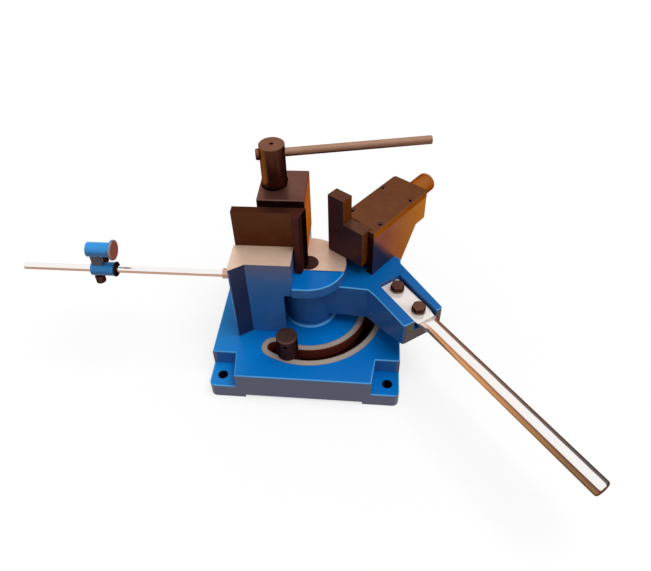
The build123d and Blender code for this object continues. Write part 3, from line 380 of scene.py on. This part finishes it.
upright = add(tree, "ShaderNodeMapRange", {"Value": rises, "From Min": WALL_UNTIL, "From Max": WALL_FULL})
outward = add(tree, "ShaderNodeVectorMath",
              {0: quarter, 1: (SLAB_X * MM, SLAB_Y * MM, 1.0)}, operation="DIVIDE")
out_x, out_y, _ = add(tree, "ShaderNodeSeparateXYZ", {0: outward}).outputs
outward = add(tree, "ShaderNodeMath", {0: out_x, 1: out_y}, operation="MAXIMUM")
outer = add(tree, "ShaderNodeMath", {0: outward, 1: OUTER_FROM}, operation="GREATER_THAN")
# The slab's outer walls get a grey painted reflection of the bench.
slab_wall_reflection = add(tree, "ShaderNodeMath", {0: upright, 1: outer}, operation="MULTIPLY")
# The top of the base gets a lighter painted sheen towards the left.
left_sheen = add(tree, "ShaderNodeMapRange",
            {"Value": x, "From Min": SHEEN_FROM_X * MM, "From Max": -SLAB_X * MM, "To Max": SHEEN_SHARE})
left_sheen = add(tree, "ShaderNodeMath", {0: left_sheen, 1: flat}, operation="MULTIPLY")
# The pillar's front is painted greyer towards its top.
high = add(tree, "ShaderNodeMapRange", {"Value": z, "From Min": GREY_FROM_MM * MM, "From Max": PILLAR_Z * MM})
high = add(tree, "ShaderNodeMath", {0: upright, 1: high}, operation="MULTIPLY")

# The rib's slanted side gets a darker painted reflection of the bench.
slanted = add(tree, "ShaderNodeVectorMath",
              {0: coords.outputs["Normal"], 1: RIB_WAY}, operation="DOT_PRODUCT").outputs["Value"]
slanted = add(tree, "ShaderNodeMapRange", {"Value": slanted, "From Min": SLANT_FROM, "From Max": SLANT_FULL})
rib = add(tree, "ShaderNodeMath", {0: x, 1: RIB_RIGHT * MM}, operation="LESS_THAN")
for mask in (above, slanted):
    rib = add(tree, "ShaderNodeMath", {0: rib, 1: mask}, operation="MULTIPLY")

# The edges of the ears get a painted highlight.
ear_highlight = add(tree, "ShaderNodeMath", {0: z, 1: EAR_Z * MM, 2: EAR_HIGHLIGHT_MM * MM}, operation="COMPARE")
far_x, far_y, _ = add(tree, "ShaderNodeSeparateXYZ", {0: quarter}).outputs
for distance, ear_from in ((outward, 1 - EAR_HIGHLIGHT_MM / SLAB_X), (far_x, EAR_FROM_X * MM),
                           (far_y, EAR_FROM_Y * MM)):
    on_ear = add(tree, "ShaderNodeMath", {0: distance, 1: ear_from}, operation="GREATER_THAN")
    ear_highlight = add(tree, "ShaderNodeMath", {0: ear_highlight, 1: on_ear}, operation="MULTIPLY")
ear_highlight = add(tree, "ShaderNodeMath", {0: ear_highlight, 1: HIGHLIGHT_SHARE}, operation="MULTIPLY")
print("painted reflections on the walls and rib, highlighted ears at", EAR_Z, "mm")

# %% [markdown]
# ## The base: all together
# The masks lay their tones over the enamel one after the other, then the bare iron, and last the painted
# shade in the slot and the bolt holes. Roughness and bumps follow the iron, and only bare iron outside the
# shaded slot is a metal, and only in part, because grey iron is full of graphite.

# %% Base casting
IRON_METAL = 0.4

skin = colour
for mask, tone in ((left_sheen, LEFT_SHEEN_BLUE), (slab_wall_reflection, SLAB_WALL_REFLECTION), (high, PILLAR_FRONT_GREY), (rib, RIB_REFLECTION),
                   (ear_highlight, ENAMEL_EDGE_HIGHLIGHT)):
    skin = add(tree, "ShaderNodeMix",
               {"Factor": mask, COLOUR_A: skin, COLOUR_B: linear(tone)}, data_type="RGBA")
skin = add(tree, "ShaderNodeMix", {"Factor": bare, COLOUR_A: skin, COLOUR_B: iron}, data_type="RGBA")
for mask, tone in ((slot_shade, SLOT_SHADE), (hole_shade, HOLE_SHADE)):
    skin = add(tree, "ShaderNodeMix",
               {"Factor": mask, COLOUR_A: skin, COLOUR_B: linear(tone)}, data_type="RGBA")
skin_rough = add(tree, "ShaderNodeMix", {"Factor": bare, VALUE_A: rough, VALUE_B: iron_rough})
skin_normal = add(tree, "ShaderNodeMix",
                  {"Factor": bare, VECTOR_A: bumped, VECTOR_B: marks}, data_type="VECTOR")
unshaded_bare = add(tree, "ShaderNodeMath", {0: bare, 1: slot_shade}, operation="SUBTRACT", use_clamp=True)
metal = add(tree, "ShaderNodeMath", {0: unshaded_bare, 1: IRON_METAL}, operation="MULTIPLY")
shell = add(tree, "ShaderNodeBsdfPrincipled",
            {"Base Color": skin, "Roughness": skin_rough, "Metallic": metal, "Normal": skin_normal,
             "Specular IOR Level": ENAMEL_SHINE})
tree.links.new(shell.outputs[0], output.inputs[0])
dress(base_finish, "base_casting")

# %% [markdown]
# ## Black-oxide steel
# The jaws, the clamp block, the cam shaft and the slide are milled tool steel, blackened in a hot salt bath
# and wiped with oil. The skin is metal under a very thin oxide, so it stays metallic, and the same tone
# tints its reflection at a glancing angle. The small share that is no metal has no shine of its own, or the
# flanks would go pale. Each piece has a tone for the faces that look up, to the front, to the right and to
# the left, in its own coordinates: these are painted light and painted reflection, with lighter tops where
# the light falls and brown to orange flanks that stand for the warm bench mirrored in them.

# %% Black-oxide steel
STEEL_METAL = 0.85
OIL_SHINE = 0.0
OIL_CLOUD_MM, CLOUD_DARK, CLOUD_PALE = 16.0, 0.8, 1.2
# The real grit is about 0.1 mm; it is drawn coarser, so that it shows.
GRIT_MM, GRIT_DEPTH_MM, GRIT_STRENGTH = 0.9, 0.05, 0.1
# How far a face looks to the right, to the left or up before its tone shows, and where the tone is full.
RIGHT_FROM, RIGHT_FULL = 0.1, 0.8
LEFT_FROM, LEFT_FULL = -0.3, -0.9
UP_FROM, UP_FULL = 0.2, 0.9


def steel_with_painted_light(name, top, front, right, left, rough, metal=STEEL_METAL):
    """Steel with a painted-light tone for each way that a face looks. Gives the material and its shader node.
    """
    made, tree, output = new_material(name)
    coords = add(tree, "ShaderNodeTexCoord")
    place = coords.outputs["Object"]
    aside, _, rises = add(tree, "ShaderNodeSeparateXYZ", {0: coords.outputs["Normal"]}).outputs
    # The tones by direction are painted light and painted reflection.
    tone = linear(front)
    for look, begins, full, colour in ((aside, RIGHT_FROM, RIGHT_FULL, right),
                                       (aside, LEFT_FROM, LEFT_FULL, left),
                                       (rises, UP_FROM, UP_FULL, top)):
        share = add(tree, "ShaderNodeMapRange", {"Value": look, "From Min": begins, "From Max": full})
        tone = add(tree, "ShaderNodeMix",
                   {"Factor": share, COLOUR_A: tone, COLOUR_B: linear(colour)}, data_type="RGBA")
    cloud = add(tree, "ShaderNodeTexNoise", {"Vector": place, "Scale": grain(OIL_CLOUD_MM), "Detail": 4.0})
    patch = add(tree, "ShaderNodeMapRange",
                {"Value": cloud.outputs[0], "To Min": CLOUD_DARK, "To Max": CLOUD_PALE})
    shade = add(tree, "ShaderNodeVectorMath", {0: tone, "Scale": patch}, operation="SCALE")
    dull = add(tree, "ShaderNodeMapRange",
               {"Value": cloud.outputs[0], "To Min": rough[0], "To Max": rough[1]})
    grit = add(tree, "ShaderNodeTexNoise", {"Vector": place, "Scale": grain(GRIT_MM)})
    bump = add(tree, "ShaderNodeBump",
               {"Strength": GRIT_STRENGTH, "Distance": GRIT_DEPTH_MM * MM, "Height": grit.outputs[0]})
    steel = add(tree, "ShaderNodeBsdfPrincipled",
                {"Base Color": shade, "Specular Tint": shade, "Roughness": dull, "Metallic": metal,
                 "Specular IOR Level": OIL_SHINE, "Normal": bump})
    tree.links.new(steel.outputs[0], output.inputs[0])
    return made, steel


shaft_steel, _ = steel_with_painted_light("black-oxide cam shaft", top="#85604F", front="#4E2A1E", right="#553026",
                             left="#98683C", rough=(0.25, 0.4))
dress(shaft_steel, "eccentric_shaft", "handle_nut")

# %% [markdown]
# ## Pieces of the slide
# The ram with its jaw is rubbed by the work and less of a metal to the eye; the cover plate over it is oily.
# Both are the same blackened steel as the shaft, so the same function makes them, with other values.

# %% Ram and cover
RAM_METAL = 0.45

ram_steel, _ = steel_with_painted_light("black-oxide moving jaw", top="#624232", front="#52393B", right="#80491F",
                           left="#52393B", rough=(0.22, 0.34), metal=RAM_METAL)
dress(ram_steel, "moving_jaw")
cover_steel, _ = steel_with_painted_light("black-oxide cover plate", top="#704733", front="#6A4638", right="#9A622C",
                             left="#6A4638", rough=(0.2, 0.32))
dress(cover_steel, "cover_plate")

# %% [markdown]
# ## Pin, stop nut and fasteners
# The pin, the stop nut and the fasteners are blackened too, and duller than the jaws, since their oil has
# caught more dust. They are small, so their sides mostly share one tone.

# %% Pin, stop nut and fasteners
pin_steel, _ = steel_with_painted_light("oiled pivot pin", top="#4A3432", front="#3A2622", right="#3A2622",
                           left="#3A2622", rough=(0.3, 0.45))
dress(pin_steel, "pivot_pin", "pivot_retaining_ring")
stop_steel, _ = steel_with_painted_light("black-oxide stop nut", top="#61453C", front="#4E3130", right="#4E3130",
                            left="#4E3130", rough=(0.35, 0.5))
dress(stop_steel, "angle_stop_nut", "angle_stop_bolt")
nut_steel, _ = steel_with_painted_light("oiled black fasteners", top="#3C2823", front="#2B1918", right="#3A2019",
                           left="#2B1918", rough=(0.35, 0.5))
dress(nut_steel, "bracket_lock_nut", "spindle_lock_screw", "housing_screws", "fixed_jaw_screws",
      "guide_key_screws", "handle_set_screw")
bolt_steel, _ = steel_with_painted_light("oiled hexagon bolts", top="#6B4A40", front="#4A302A", right="#4A2C24",
                            left="#4A302A", rough=(0.3, 0.45))
dress(bolt_steel, "lever_bolts", "thumb_screw", "cover_screws")

# %% [markdown]
# ## Handle and knob
# The handle is drawn steel without oxide, browned by oily hands, and the knob of the adjusting screw is
# turned steel with a thin brown oxide. Paler tones in the same function give both.

# %% Handle and knob
rod_steel, _ = steel_with_painted_light("drawn steel, browned by oil", top="#B08A74", front="#7A5644", right="#7A5644",
                           left="#7A5644", rough=(0.3, 0.42))
dress(rod_steel, "handle_rod")
knob_steel, _ = steel_with_painted_light("turned steel, brown oxide", top="#A0602F", front="#8A4E22", right="#9A5618",
                            left="#8A4E22", rough=(0.3, 0.42))
dress(knob_steel, "screw_knob")

# %% [markdown]
# ## Films over the oxide, and the fixed jaw
# Three pieces show more than their oxide: the fixed jaw, the clamp block and the slide housing. On each a
# film of another colour is mixed over the oxide by a mask, and there the shader is less of a metal, or as
# much of one for the housing's warm film. The films on the clamp block and the housing are painted
# reflections. On the fixed jaw it is the hooked nose, in front of the plate, that is rubbed dark by the work.

# %% Fixed jaw
PLATE_FRONT_MM = -13.0
NOSE_DARK, NOSE_METAL = "#4A2724", 0.4


def lay_film(made, steel, mask, hex_colour, metal):
    """Lays a film of another colour over the steel where the mask is 1."""
    tree = made.node_tree
    under = steel.inputs["Base Color"].links[0].from_socket
    skin = add(tree, "ShaderNodeMix",
               {"Factor": mask, COLOUR_A: under, COLOUR_B: linear(hex_colour)}, data_type="RGBA")
    shine = add(tree, "ShaderNodeMapRange", {"Value": mask, "To Min": STEEL_METAL, "To Max": metal})
    for socket in ("Base Color", "Specular Tint"):
        tree.links.new(skin.outputs[COLOUR_OUT], steel.inputs[socket])
    tree.links.new(shine.outputs[0], steel.inputs["Metallic"])
    print("film", hex_colour, "on", made.name)


jaw_steel, steel = steel_with_painted_light("black-oxide fixed jaw", top="#4E2E24", front="#52301F", right="#34190F",
                               left="#4A281C", rough=(0.28, 0.42))
tree = jaw_steel.node_tree
place = add(tree, "ShaderNodeTexCoord").outputs["Object"]
depth = add(tree, "ShaderNodeSeparateXYZ", {0: place}).outputs["Y"]
nose = add(tree, "ShaderNodeMath", {0: depth, 1: PLATE_FRONT_MM * MM}, operation="LESS_THAN")
lay_film(jaw_steel, steel, nose, NOSE_DARK, NOSE_METAL)
dress(jaw_steel, "fixed_jaw")

# %% [markdown]
# ## The clamp block
# The right flank of the block carries an orange painted reflection of the warm bench, laid as a film. A
# film of even strength would look like paint, so it gets weaker towards the top, by height.

# %% Clamp block
CLAMP_TOP_MM, CLAMP_BRIGHT_MM = 246.0, 212.0
REFLECTION_THIN = 0.45
CLAMP_FLANK_REFLECTION, REFLECTION_METAL = "#F0821E", 0.0
ON_FLANK = 0.9

clamp_steel, steel = steel_with_painted_light("black-oxide clamp block", top="#79564C", front="#523130", right="#6E4030",
                                 left="#3A2018", rough=(0.28, 0.42))
tree = clamp_steel.node_tree
coords = add(tree, "ShaderNodeTexCoord")
aside = add(tree, "ShaderNodeSeparateXYZ", {0: coords.outputs["Normal"]}).outputs["X"]
height = add(tree, "ShaderNodeSeparateXYZ", {0: coords.outputs["Object"]}).outputs["Z"]
# Orange painted reflection on the right flank, weaker towards the top.
flank = add(tree, "ShaderNodeMath", {0: aside, 1: ON_FLANK}, operation="GREATER_THAN")
reflection_strength = add(tree, "ShaderNodeMapRange",
            {"Value": height, "From Min": CLAMP_TOP_MM * MM, "From Max": CLAMP_BRIGHT_MM * MM,
             "To Min": REFLECTION_THIN, "To Max": 1.0})
flank_reflection = add(tree, "ShaderNodeMath", {0: flank, 1: reflection_strength}, operation="MULTIPLY")
lay_film(clamp_steel, steel, flank_reflection, CLAMP_FLANK_REFLECTION, REFLECTION_METAL)
dress(clamp_steel, "clamp_block")

# %% [markdown]
# ## The slide housing
# The housing's right flank is polished and mirrors the blue arm that it is bolted to. The two move
# together, so the mirrored blue is laid as a film, below a line that slants down to the back. Towards the
# back a second film, a warm painted reflection of the bench, grows along the arm.

# %% Slide housing
FLANK_WAY = (0.799, -0.602, 0.0)
ARM_WAY = (0.602, 0.799, 0.0)
HOUSING_WARM_REFLECTION, WARM_FROM_MM, WARM_TO_MM = "#C4884E", 70.0, 200.0
SLANT = (0.775, 1.028, 1.0)
MIRROR_BLUE, MIRROR_METAL = "#2C3452", 0.0
MIRROR_FROM_MM, MIRROR_TO_MM = 274.0, 250.0

house_steel, steel = steel_with_painted_light("polished slide housing", top="#6C4535", front="#4A2A22", right="#8F6158",
                                 left="#4A2A22", rough=(0.18, 0.3))
tree = house_steel.node_tree
coords = add(tree, "ShaderNodeTexCoord")
flank = add(tree, "ShaderNodeVectorMath",
            {0: coords.outputs["Normal"], 1: FLANK_WAY}, operation="DOT_PRODUCT").outputs["Value"]
flank = add(tree, "ShaderNodeMath", {0: flank, 1: ON_FLANK}, operation="GREATER_THAN")
along = add(tree, "ShaderNodeVectorMath",
            {0: coords.outputs["Object"], 1: ARM_WAY}, operation="DOT_PRODUCT").outputs["Value"]
# A warm painted reflection of the bench, growing towards the back.
warm_reflection = add(tree, "ShaderNodeMapRange",
           {"Value": along, "From Min": WARM_FROM_MM * MM, "From Max": WARM_TO_MM * MM})
warm_reflection = add(tree, "ShaderNodeMath", {0: warm_reflection, 1: flank}, operation="MULTIPLY")
lay_film(house_steel, steel, warm_reflection, HOUSING_WARM_REFLECTION, STEEL_METAL)
slant = add(tree, "ShaderNodeVectorMath",
            {0: coords.outputs["Object"], 1: SLANT}, operation="DOT_PRODUCT").outputs["Value"]
mirrored = add(tree, "ShaderNodeMapRange",
               {"Value": slant, "From Min": MIRROR_FROM_MM * MM, "From Max": MIRROR_TO_MM * MM},
               interpolation_type="SMOOTHSTEP")
mirrored = add(tree, "ShaderNodeMath", {0: mirrored, 1: flank}, operation="MULTIPLY")
lay_film(house_steel, steel, mirrored, MIRROR_BLUE, MIRROR_METAL)
dress(house_steel, "slide_housing")

# %% [markdown]
# ## Bright steel
# The lever and the stop rod are drawn bars with a bright plating; they mirror what stands around them.
# The top is left bright, and the flanks get a painted brown reflection of the bench. It is laid by the angle
# round the bar, from upright towards its left side, in the bar's own coordinates: a dark line where the
# band starts on either side, and below it on the left a paler orange that turns brown towards the free end.
# The underside has no band and is a greyer steel, as painted shade. A noise lets the band's edge waver.

# %% Bright steel
PLATING, UNDERSIDE_SHADE = "#F6F3F1", "#B0A79F"
PLATING_ROUGH, FILM_ROUGH = 0.14, 0.3
FILM_EDGE, LINE_WIDE = math.radians(5.0), math.radians(28.0)
UPPER_MIDDLE, UPPER_HALF = math.radians(30.0), math.radians(98.0)
STREAK_MM, STREAK_WAVER = 30.0, 0.1
FILM_GROWS_MM = 40.0


def bright_bar(name, left_way, right_deg, left_deg, right_reflection, left_reflection_line, left_reflection, film_mm, far_mm):
    """A plated bar with a painted brown reflection past two angles. Each side has a tone near the pivot and
    one far out.
    """
    made, tree, output = new_material(name)
    coords = add(tree, "ShaderNodeTexCoord")
    place = coords.outputs["Object"]
    rises = add(tree, "ShaderNodeSeparateXYZ", {0: coords.outputs["Normal"]}).outputs["Z"]
    aside = add(tree, "ShaderNodeVectorMath",
                {0: coords.outputs["Normal"], 1: left_way}, operation="DOT_PRODUCT").outputs["Value"]
    round_bar = add(tree, "ShaderNodeMath", {0: aside, 1: rises}, operation="ARCTAN2")
    streak = add(tree, "ShaderNodeTexNoise", {"Vector": place, "Scale": grain(STREAK_MM), "Detail": 4.0})
    angle = add(tree, "ShaderNodeMath",
                {0: streak.outputs[0], 1: STREAK_WAVER, 2: round_bar}, operation="MULTIPLY_ADD")
    plan = add(tree, "ShaderNodeVectorMath", {0: place, 1: PLAN}, operation="MULTIPLY")
    reach = add(tree, "ShaderNodeVectorMath", {0: plan}, operation="LENGTH").outputs["Value"]
    begun = add(tree, "ShaderNodeMapRange",
                {"Value": reach, "From Min": film_mm * MM, "From Max": (film_mm + FILM_GROWS_MM) * MM})
    along = add(tree, "ShaderNodeMapRange",
                {"Value": reach, "From Min": film_mm * MM, "From Max": far_mm * MM})

    left, right = math.radians(left_deg), math.radians(right_deg)
    film = add(tree, "ShaderNodeMapRange", {"Value": angle, "From Min": left, "From Max": left + FILM_EDGE})
    film = add(tree, "ShaderNodeMath", {0: film, 1: begun}, operation="MULTIPLY")
    other = add(tree, "ShaderNodeMapRange",
                {"Value": angle, "From Min": right, "From Max": right - FILM_EDGE})
    film = add(tree, "ShaderNodeMath", {0: film, 1: other}, operation="MAXIMUM")
    # The band on the flanks is a painted reflection, and the underside's grey is painted shade.
    oiled = add(tree, "ShaderNodeMath", {0: angle, 1: UPPER_MIDDLE, 2: UPPER_HALF}, operation="COMPARE")
    film = add(tree, "ShaderNodeMath", {0: film, 1: oiled}, operation="MULTIPLY")
    low = add(tree, "ShaderNodeMapRange",
              {"Value": angle, "From Min": left + FILM_EDGE, "From Max": left + LINE_WIDE},
              interpolation_type="SMOOTHSTEP")
    on_left = add(tree, "ShaderNodeMath", {0: round_bar, 1: left / 2}, operation="GREATER_THAN")

    right_tone, line_tone, left_tone = (
        add(tree, "ShaderNodeMix",
            {"Factor": along, COLOUR_A: linear(near), COLOUR_B: linear(far)}, data_type="RGBA")
        for near, far in (right_reflection, left_reflection_line, left_reflection))
    # These brown tones are a painted reflection of the bench.
    oil = add(tree, "ShaderNodeMix",
              {"Factor": on_left, COLOUR_A: right_tone, COLOUR_B: line_tone}, data_type="RGBA")
    oil = add(tree, "ShaderNodeMix", {"Factor": low, COLOUR_A: oil, COLOUR_B: left_tone}, data_type="RGBA")
    plating = add(tree, "ShaderNodeMix",
                  {"Factor": film, COLOUR_A: linear(PLATING), COLOUR_B: oil}, data_type="RGBA")
    plating = add(tree, "ShaderNodeMix",
                  {"Factor": oiled, COLOUR_A: linear(UNDERSIDE_SHADE), COLOUR_B: plating}, data_type="RGBA")
    dull = add(tree, "ShaderNodeMapRange", {"Value": film, "To Min": PLATING_ROUGH, "To Max": FILM_ROUGH})
    bar = add(tree, "ShaderNodeBsdfPrincipled",
              {"Base Color": plating, "Specular Tint": plating, "Roughness": dull, "Metallic": 1.0})
    tree.links.new(bar.outputs[0], output.inputs[0])
    return made, bar, plating


ROD_LEFT = (0.0, -1.0, 0.0)

rod_plate, _, _ = bright_bar("bright plated stop rod", left_way=ROD_LEFT, right_deg=-70.0, left_deg=66.0,
                             right_reflection=("#B08E7C", "#B08E7C"), left_reflection_line=("#B08E7C", "#B08E7C"),
                             left_reflection=("#D8A78E", "#C09A86"), film_mm=60.0, far_mm=420.0)
dress(rod_plate, "length_stop_rod")

# %% [markdown]
# ## The lever
# The lever has the same plating. Its flat under the bolts, and the ramp from there up to the full bar, were
# milled after plating, so they are bare and dull, and only a third of a metal. The ramp is the face that
# leans back to the bolts; the flat looks straight up and ends at a known distance from the pivot.

# %% Lever
LEVER_LEFT = (-0.797, -0.605, 0.0)
RAMP_WAY = (-0.605, 0.797, 0.0)
RAMP_FROM, RAMP_FULL = 0.3, 0.5
FLAT_TO_MM, STRAIGHT_UP = 188.0, 0.99
RAMP_BARE, FLAT_BARE = "#F0E6DE", "#EDE4DF"
MILLED_METAL = 0.3

lever_plate, bar, plating = bright_bar("bright plated lever, flanks with painted brown reflection", left_way=LEVER_LEFT,
                                       right_deg=2.0, left_deg=50.0, right_reflection=("#9A6E5A", "#6A605C"),
                                       left_reflection_line=("#C98250", "#6E4636"), left_reflection=("#FFBE84", "#8E6C4C"),
                                       film_mm=165.0, far_mm=420.0)
tree = lever_plate.node_tree
coords = add(tree, "ShaderNodeTexCoord")
leaning = add(tree, "ShaderNodeVectorMath",
              {0: coords.outputs["Normal"], 1: RAMP_WAY}, operation="DOT_PRODUCT").outputs["Value"]
ramp = add(tree, "ShaderNodeMapRange", {"Value": leaning, "From Min": RAMP_FROM, "From Max": RAMP_FULL})
plan = add(tree, "ShaderNodeVectorMath", {0: coords.outputs["Object"], 1: PLAN}, operation="MULTIPLY")
reach = add(tree, "ShaderNodeVectorMath", {0: plan}, operation="LENGTH").outputs["Value"]
near = add(tree, "ShaderNodeMath", {0: reach, 1: FLAT_TO_MM * MM}, operation="LESS_THAN")
rises = add(tree, "ShaderNodeSeparateXYZ", {0: coords.outputs["Normal"]}).outputs["Z"]
flat = add(tree, "ShaderNodeMath", {0: rises, 1: STRAIGHT_UP}, operation="GREATER_THAN")
flat = add(tree, "ShaderNodeMath", {0: flat, 1: near}, operation="MULTIPLY")
skin = plating
for mask, tone in ((ramp, RAMP_BARE), (flat, FLAT_BARE)):
    skin = add(tree, "ShaderNodeMix",
               {"Factor": mask, COLOUR_A: skin, COLOUR_B: linear(tone)}, data_type="RGBA")
milled = add(tree, "ShaderNodeMath", {0: ramp, 1: flat}, operation="MAXIMUM")
shine = add(tree, "ShaderNodeMapRange", {"Value": milled, "To Min": 1.0, "To Max": MILLED_METAL})
for socket in ("Base Color", "Specular Tint"):
    tree.links.new(skin.outputs[COLOUR_OUT], bar.inputs[socket])
tree.links.new(shine.outputs[0], bar.inputs["Metallic"])
dress(lever_plate, "lever")

# %% [markdown]
# ## Ground steel, bronze and brass
# The guide key, gib and adjusting screw are ground steel, and the washers under the lever's bolts are
# plain zinc-plated ones. The bushes and the washer under the hub are bronze, and the jam nut of the stop
# rod is brass, dulled by oil.

# %% Ground steel, bronze and brass
ground_steel, _ = steel_with_painted_light("ground steel", top="#A6A19B", front="#8E8A86", right="#8E8A86",
                              left="#8E8A86", rough=(0.25, 0.4))
dress(ground_steel, "guide_key", "gib_strip", "adjusting_screw")
washer_steel, _ = steel_with_painted_light("zinc-plated washers", top="#C9BDB4", front="#8A7A70", right="#8A7A70",
                              left="#8A7A70", rough=(0.3, 0.45))
dress(washer_steel, "lever_washers")
bronze, _ = steel_with_painted_light("turned bronze", top="#A9794A", front="#8C6239", right="#9A6E42",
                        left="#8C6239", rough=(0.3, 0.45))
dress(bronze, "upper_pivot_bush", "lower_pivot_bush", "thrust_washer", "cam_bush")
brass, _ = steel_with_painted_light("dull brass", top="#D0AC98", front="#B8917C", right="#B8917C",
                       left="#B8917C", rough=(0.32, 0.45))
dress(brass, "rod_jam_nut")

# %% [markdown]
# ## The stop disc
# The stop disc was sprayed with its bracket. Its striking face, the one that looks to the right, is
# brown, and its rim is blue with pale patches. A small noise draws both.

# %% Stop disc
DISC_BROWN, DISC_PALE, DISC_RIM = "#8E4C3A", "#AE6A56", "#A08C7C"
DISC_PATCH_MM = 6.0
PATCH_FROM, PATCH_FULL = 0.35, 0.55
FACE_FROM = 0.8

disc_finish, tree, output = new_material("enamelled disc, brown on its face, patchy on its rim")
colour, rough, bumped = blue_enamel(tree, BRACKET_TOP, BRACKET_WALL_REFLECTION, BRACKET_EDGE_HIGHLIGHT)
coords = add(tree, "ShaderNodeTexCoord")
aside = add(tree, "ShaderNodeSeparateXYZ", {0: coords.outputs["Normal"]}).outputs["X"]
face = add(tree, "ShaderNodeMath", {0: aside, 1: FACE_FROM}, operation="GREATER_THAN")
patches = add(tree, "ShaderNodeTexNoise",
           {"Vector": coords.outputs["Object"], "Scale": grain(DISC_PATCH_MM), "Detail": 4.0})
patchy = add(tree, "ShaderNodeMapRange",
             {"Value": patches.outputs[0], "From Min": PATCH_FROM, "From Max": PATCH_FULL})
brown = add(tree, "ShaderNodeMix",
            {"Factor": patches.outputs[0], COLOUR_A: linear(DISC_BROWN), COLOUR_B: linear(DISC_PALE)},
            data_type="RGBA")
rim = add(tree, "ShaderNodeMix",
          {"Factor": patchy, COLOUR_A: colour, COLOUR_B: linear(DISC_RIM)}, data_type="RGBA")
skin = add(tree, "ShaderNodeMix", {"Factor": face, COLOUR_A: rim, COLOUR_B: brown}, data_type="RGBA")
shell = add(tree, "ShaderNodeBsdfPrincipled",
            {"Base Color": skin, "Roughness": rough, "Normal": bumped, "Specular IOR Level": OIL_SHINE})
tree.links.new(shell.outputs[0], output.inputs[0])
dress(disc_finish, "length_stop_disc")

# %% [markdown]
# ## Floor and surroundings
# The machine stands on a pale floor that runs into a white room. To the camera, and in the reflections on
# metal, floor and room are white; the light that they send onto the machine stays at a plain level. The
# floor adds its own shaded surface, so it keeps the soft shadow under the machine. Right under the base
# the floor gets a dark painted shade and doesn't glow, so the slot looks into the dark.

# %% Floor
FLOOR_HALF = 6.0
FLOOR_BELOW_MM = 0.3
SEEN_GLOW = 0.72
FLOOR_SEEN = "#F8F8F8"
FLOOR_BOUNCE = "#A08C7A"
UNDER_BASE_MM = 134.0
SHADE_UNDER_BASE = "#20100C"
WHITE = (1.0, 1.0, 1.0, 1.0)


def seen(tree):
    """1 where the camera sees a surface itself, or in a mirror or through glass, and 0 for stray light."""
    rays = add(tree, "ShaderNodeLightPath")
    either = rays.outputs["Is Camera Ray"]
    for kind in ("Is Glossy Ray", "Is Transmission Ray"):
        either = add(tree, "ShaderNodeMath", {0: either, 1: rays.outputs[kind]}, operation="MAXIMUM")
    return either


bpy.ops.mesh.primitive_plane_add(size=2 * FLOOR_HALF, location=(0, 0, -FLOOR_BELOW_MM * MM))
floor = bpy.context.object
floor.name = "floor"
floor_paint, tree, output = new_material("pale studio floor")
is_seen = seen(tree)
paint = add(tree, "ShaderNodeMix",
            {"Factor": is_seen, COLOUR_A: linear(FLOOR_BOUNCE), COLOUR_B: linear(FLOOR_SEEN)},
            data_type="RGBA")
spot = add(tree, "ShaderNodeVectorMath", {0: add(tree, "ShaderNodeTexCoord").outputs["Object"]},
           operation="ABSOLUTE")
far_x, far_y, _ = add(tree, "ShaderNodeSeparateXYZ", {0: spot}).outputs
farthest = add(tree, "ShaderNodeMath", {0: far_x, 1: far_y}, operation="MAXIMUM")
# Right under the base the floor gets a dark painted shade.
beside = add(tree, "ShaderNodeMath", {0: farthest, 1: UNDER_BASE_MM * MM}, operation="GREATER_THAN")
paint = add(tree, "ShaderNodeMix",
            {"Factor": beside, COLOUR_A: linear(SHADE_UNDER_BASE), COLOUR_B: paint}, data_type="RGBA")
matte = add(tree, "ShaderNodeBsdfDiffuse", {"Color": paint})
glow = add(tree, "ShaderNodeEmission", {"Color": WHITE, "Strength": 1.0})
share = add(tree, "ShaderNodeMath", {0: is_seen, 1: SEEN_GLOW}, operation="MULTIPLY")
share = add(tree, "ShaderNodeMath", {0: share, 1: beside}, operation="MULTIPLY")
both = add(tree, "ShaderNodeMixShader", {0: share, 1: matte, 2: glow})
tree.links.new(both.outputs[0], output.inputs[0])
floor.data.materials.append(floor_paint)
print("floor", 2 * FLOOR_HALF, "m wide")

# %% [markdown]
# ## The room
# Walls would show their corners in the bright bars, so the room is the world itself: white where it is seen,
# and at half that strength as a light.

# %% Room
ROOM_LIGHT = 0.5

world = bpy.data.worlds.new("white room")
bpy.context.scene.world = world
world.use_nodes = True
tree = world.node_tree
tree.nodes.clear()
strength = add(tree, "ShaderNodeMapRange", {"Value": seen(tree), "To Min": ROOM_LIGHT, "To Max": 1.0})
room = add(tree, "ShaderNodeBackground", {"Color": WHITE, "Strength": strength})
add(tree, "ShaderNodeOutputWorld", {0: room})
bpy.context.scene.view_settings.view_transform = "Standard"
print("room light", ROOM_LIGHT)

# %% [markdown]
# ## Lamp
# One large soft light stands high, a little to the right, so the tops are bright and the fronts and the
# left sides fall off. It is a sun lamp with a wide disc, which lights the whole floor evenly. The lamp
# itself is kept out of the reflections: metal shows the white room instead.

# %% Lamp
SKY_AT = (0.3, -0.05, 1.0)
SKY_WIDE = math.radians(40.0)
SKY_STRENGTH = 1.9

lamp = bpy.data.lights.new("high soft light", "SUN")
lamp.angle = SKY_WIDE
lamp.energy = SKY_STRENGTH
holder = bpy.data.objects.new("high soft light", lamp)
bpy.context.scene.collection.objects.link(holder)
holder.location = SKY_AT
holder.rotation_euler = (-Vector(SKY_AT)).to_track_quat("-Z", "Y").to_euler()
holder.visible_glossy = False
print("high soft light", SKY_STRENGTH, "W per square metre")
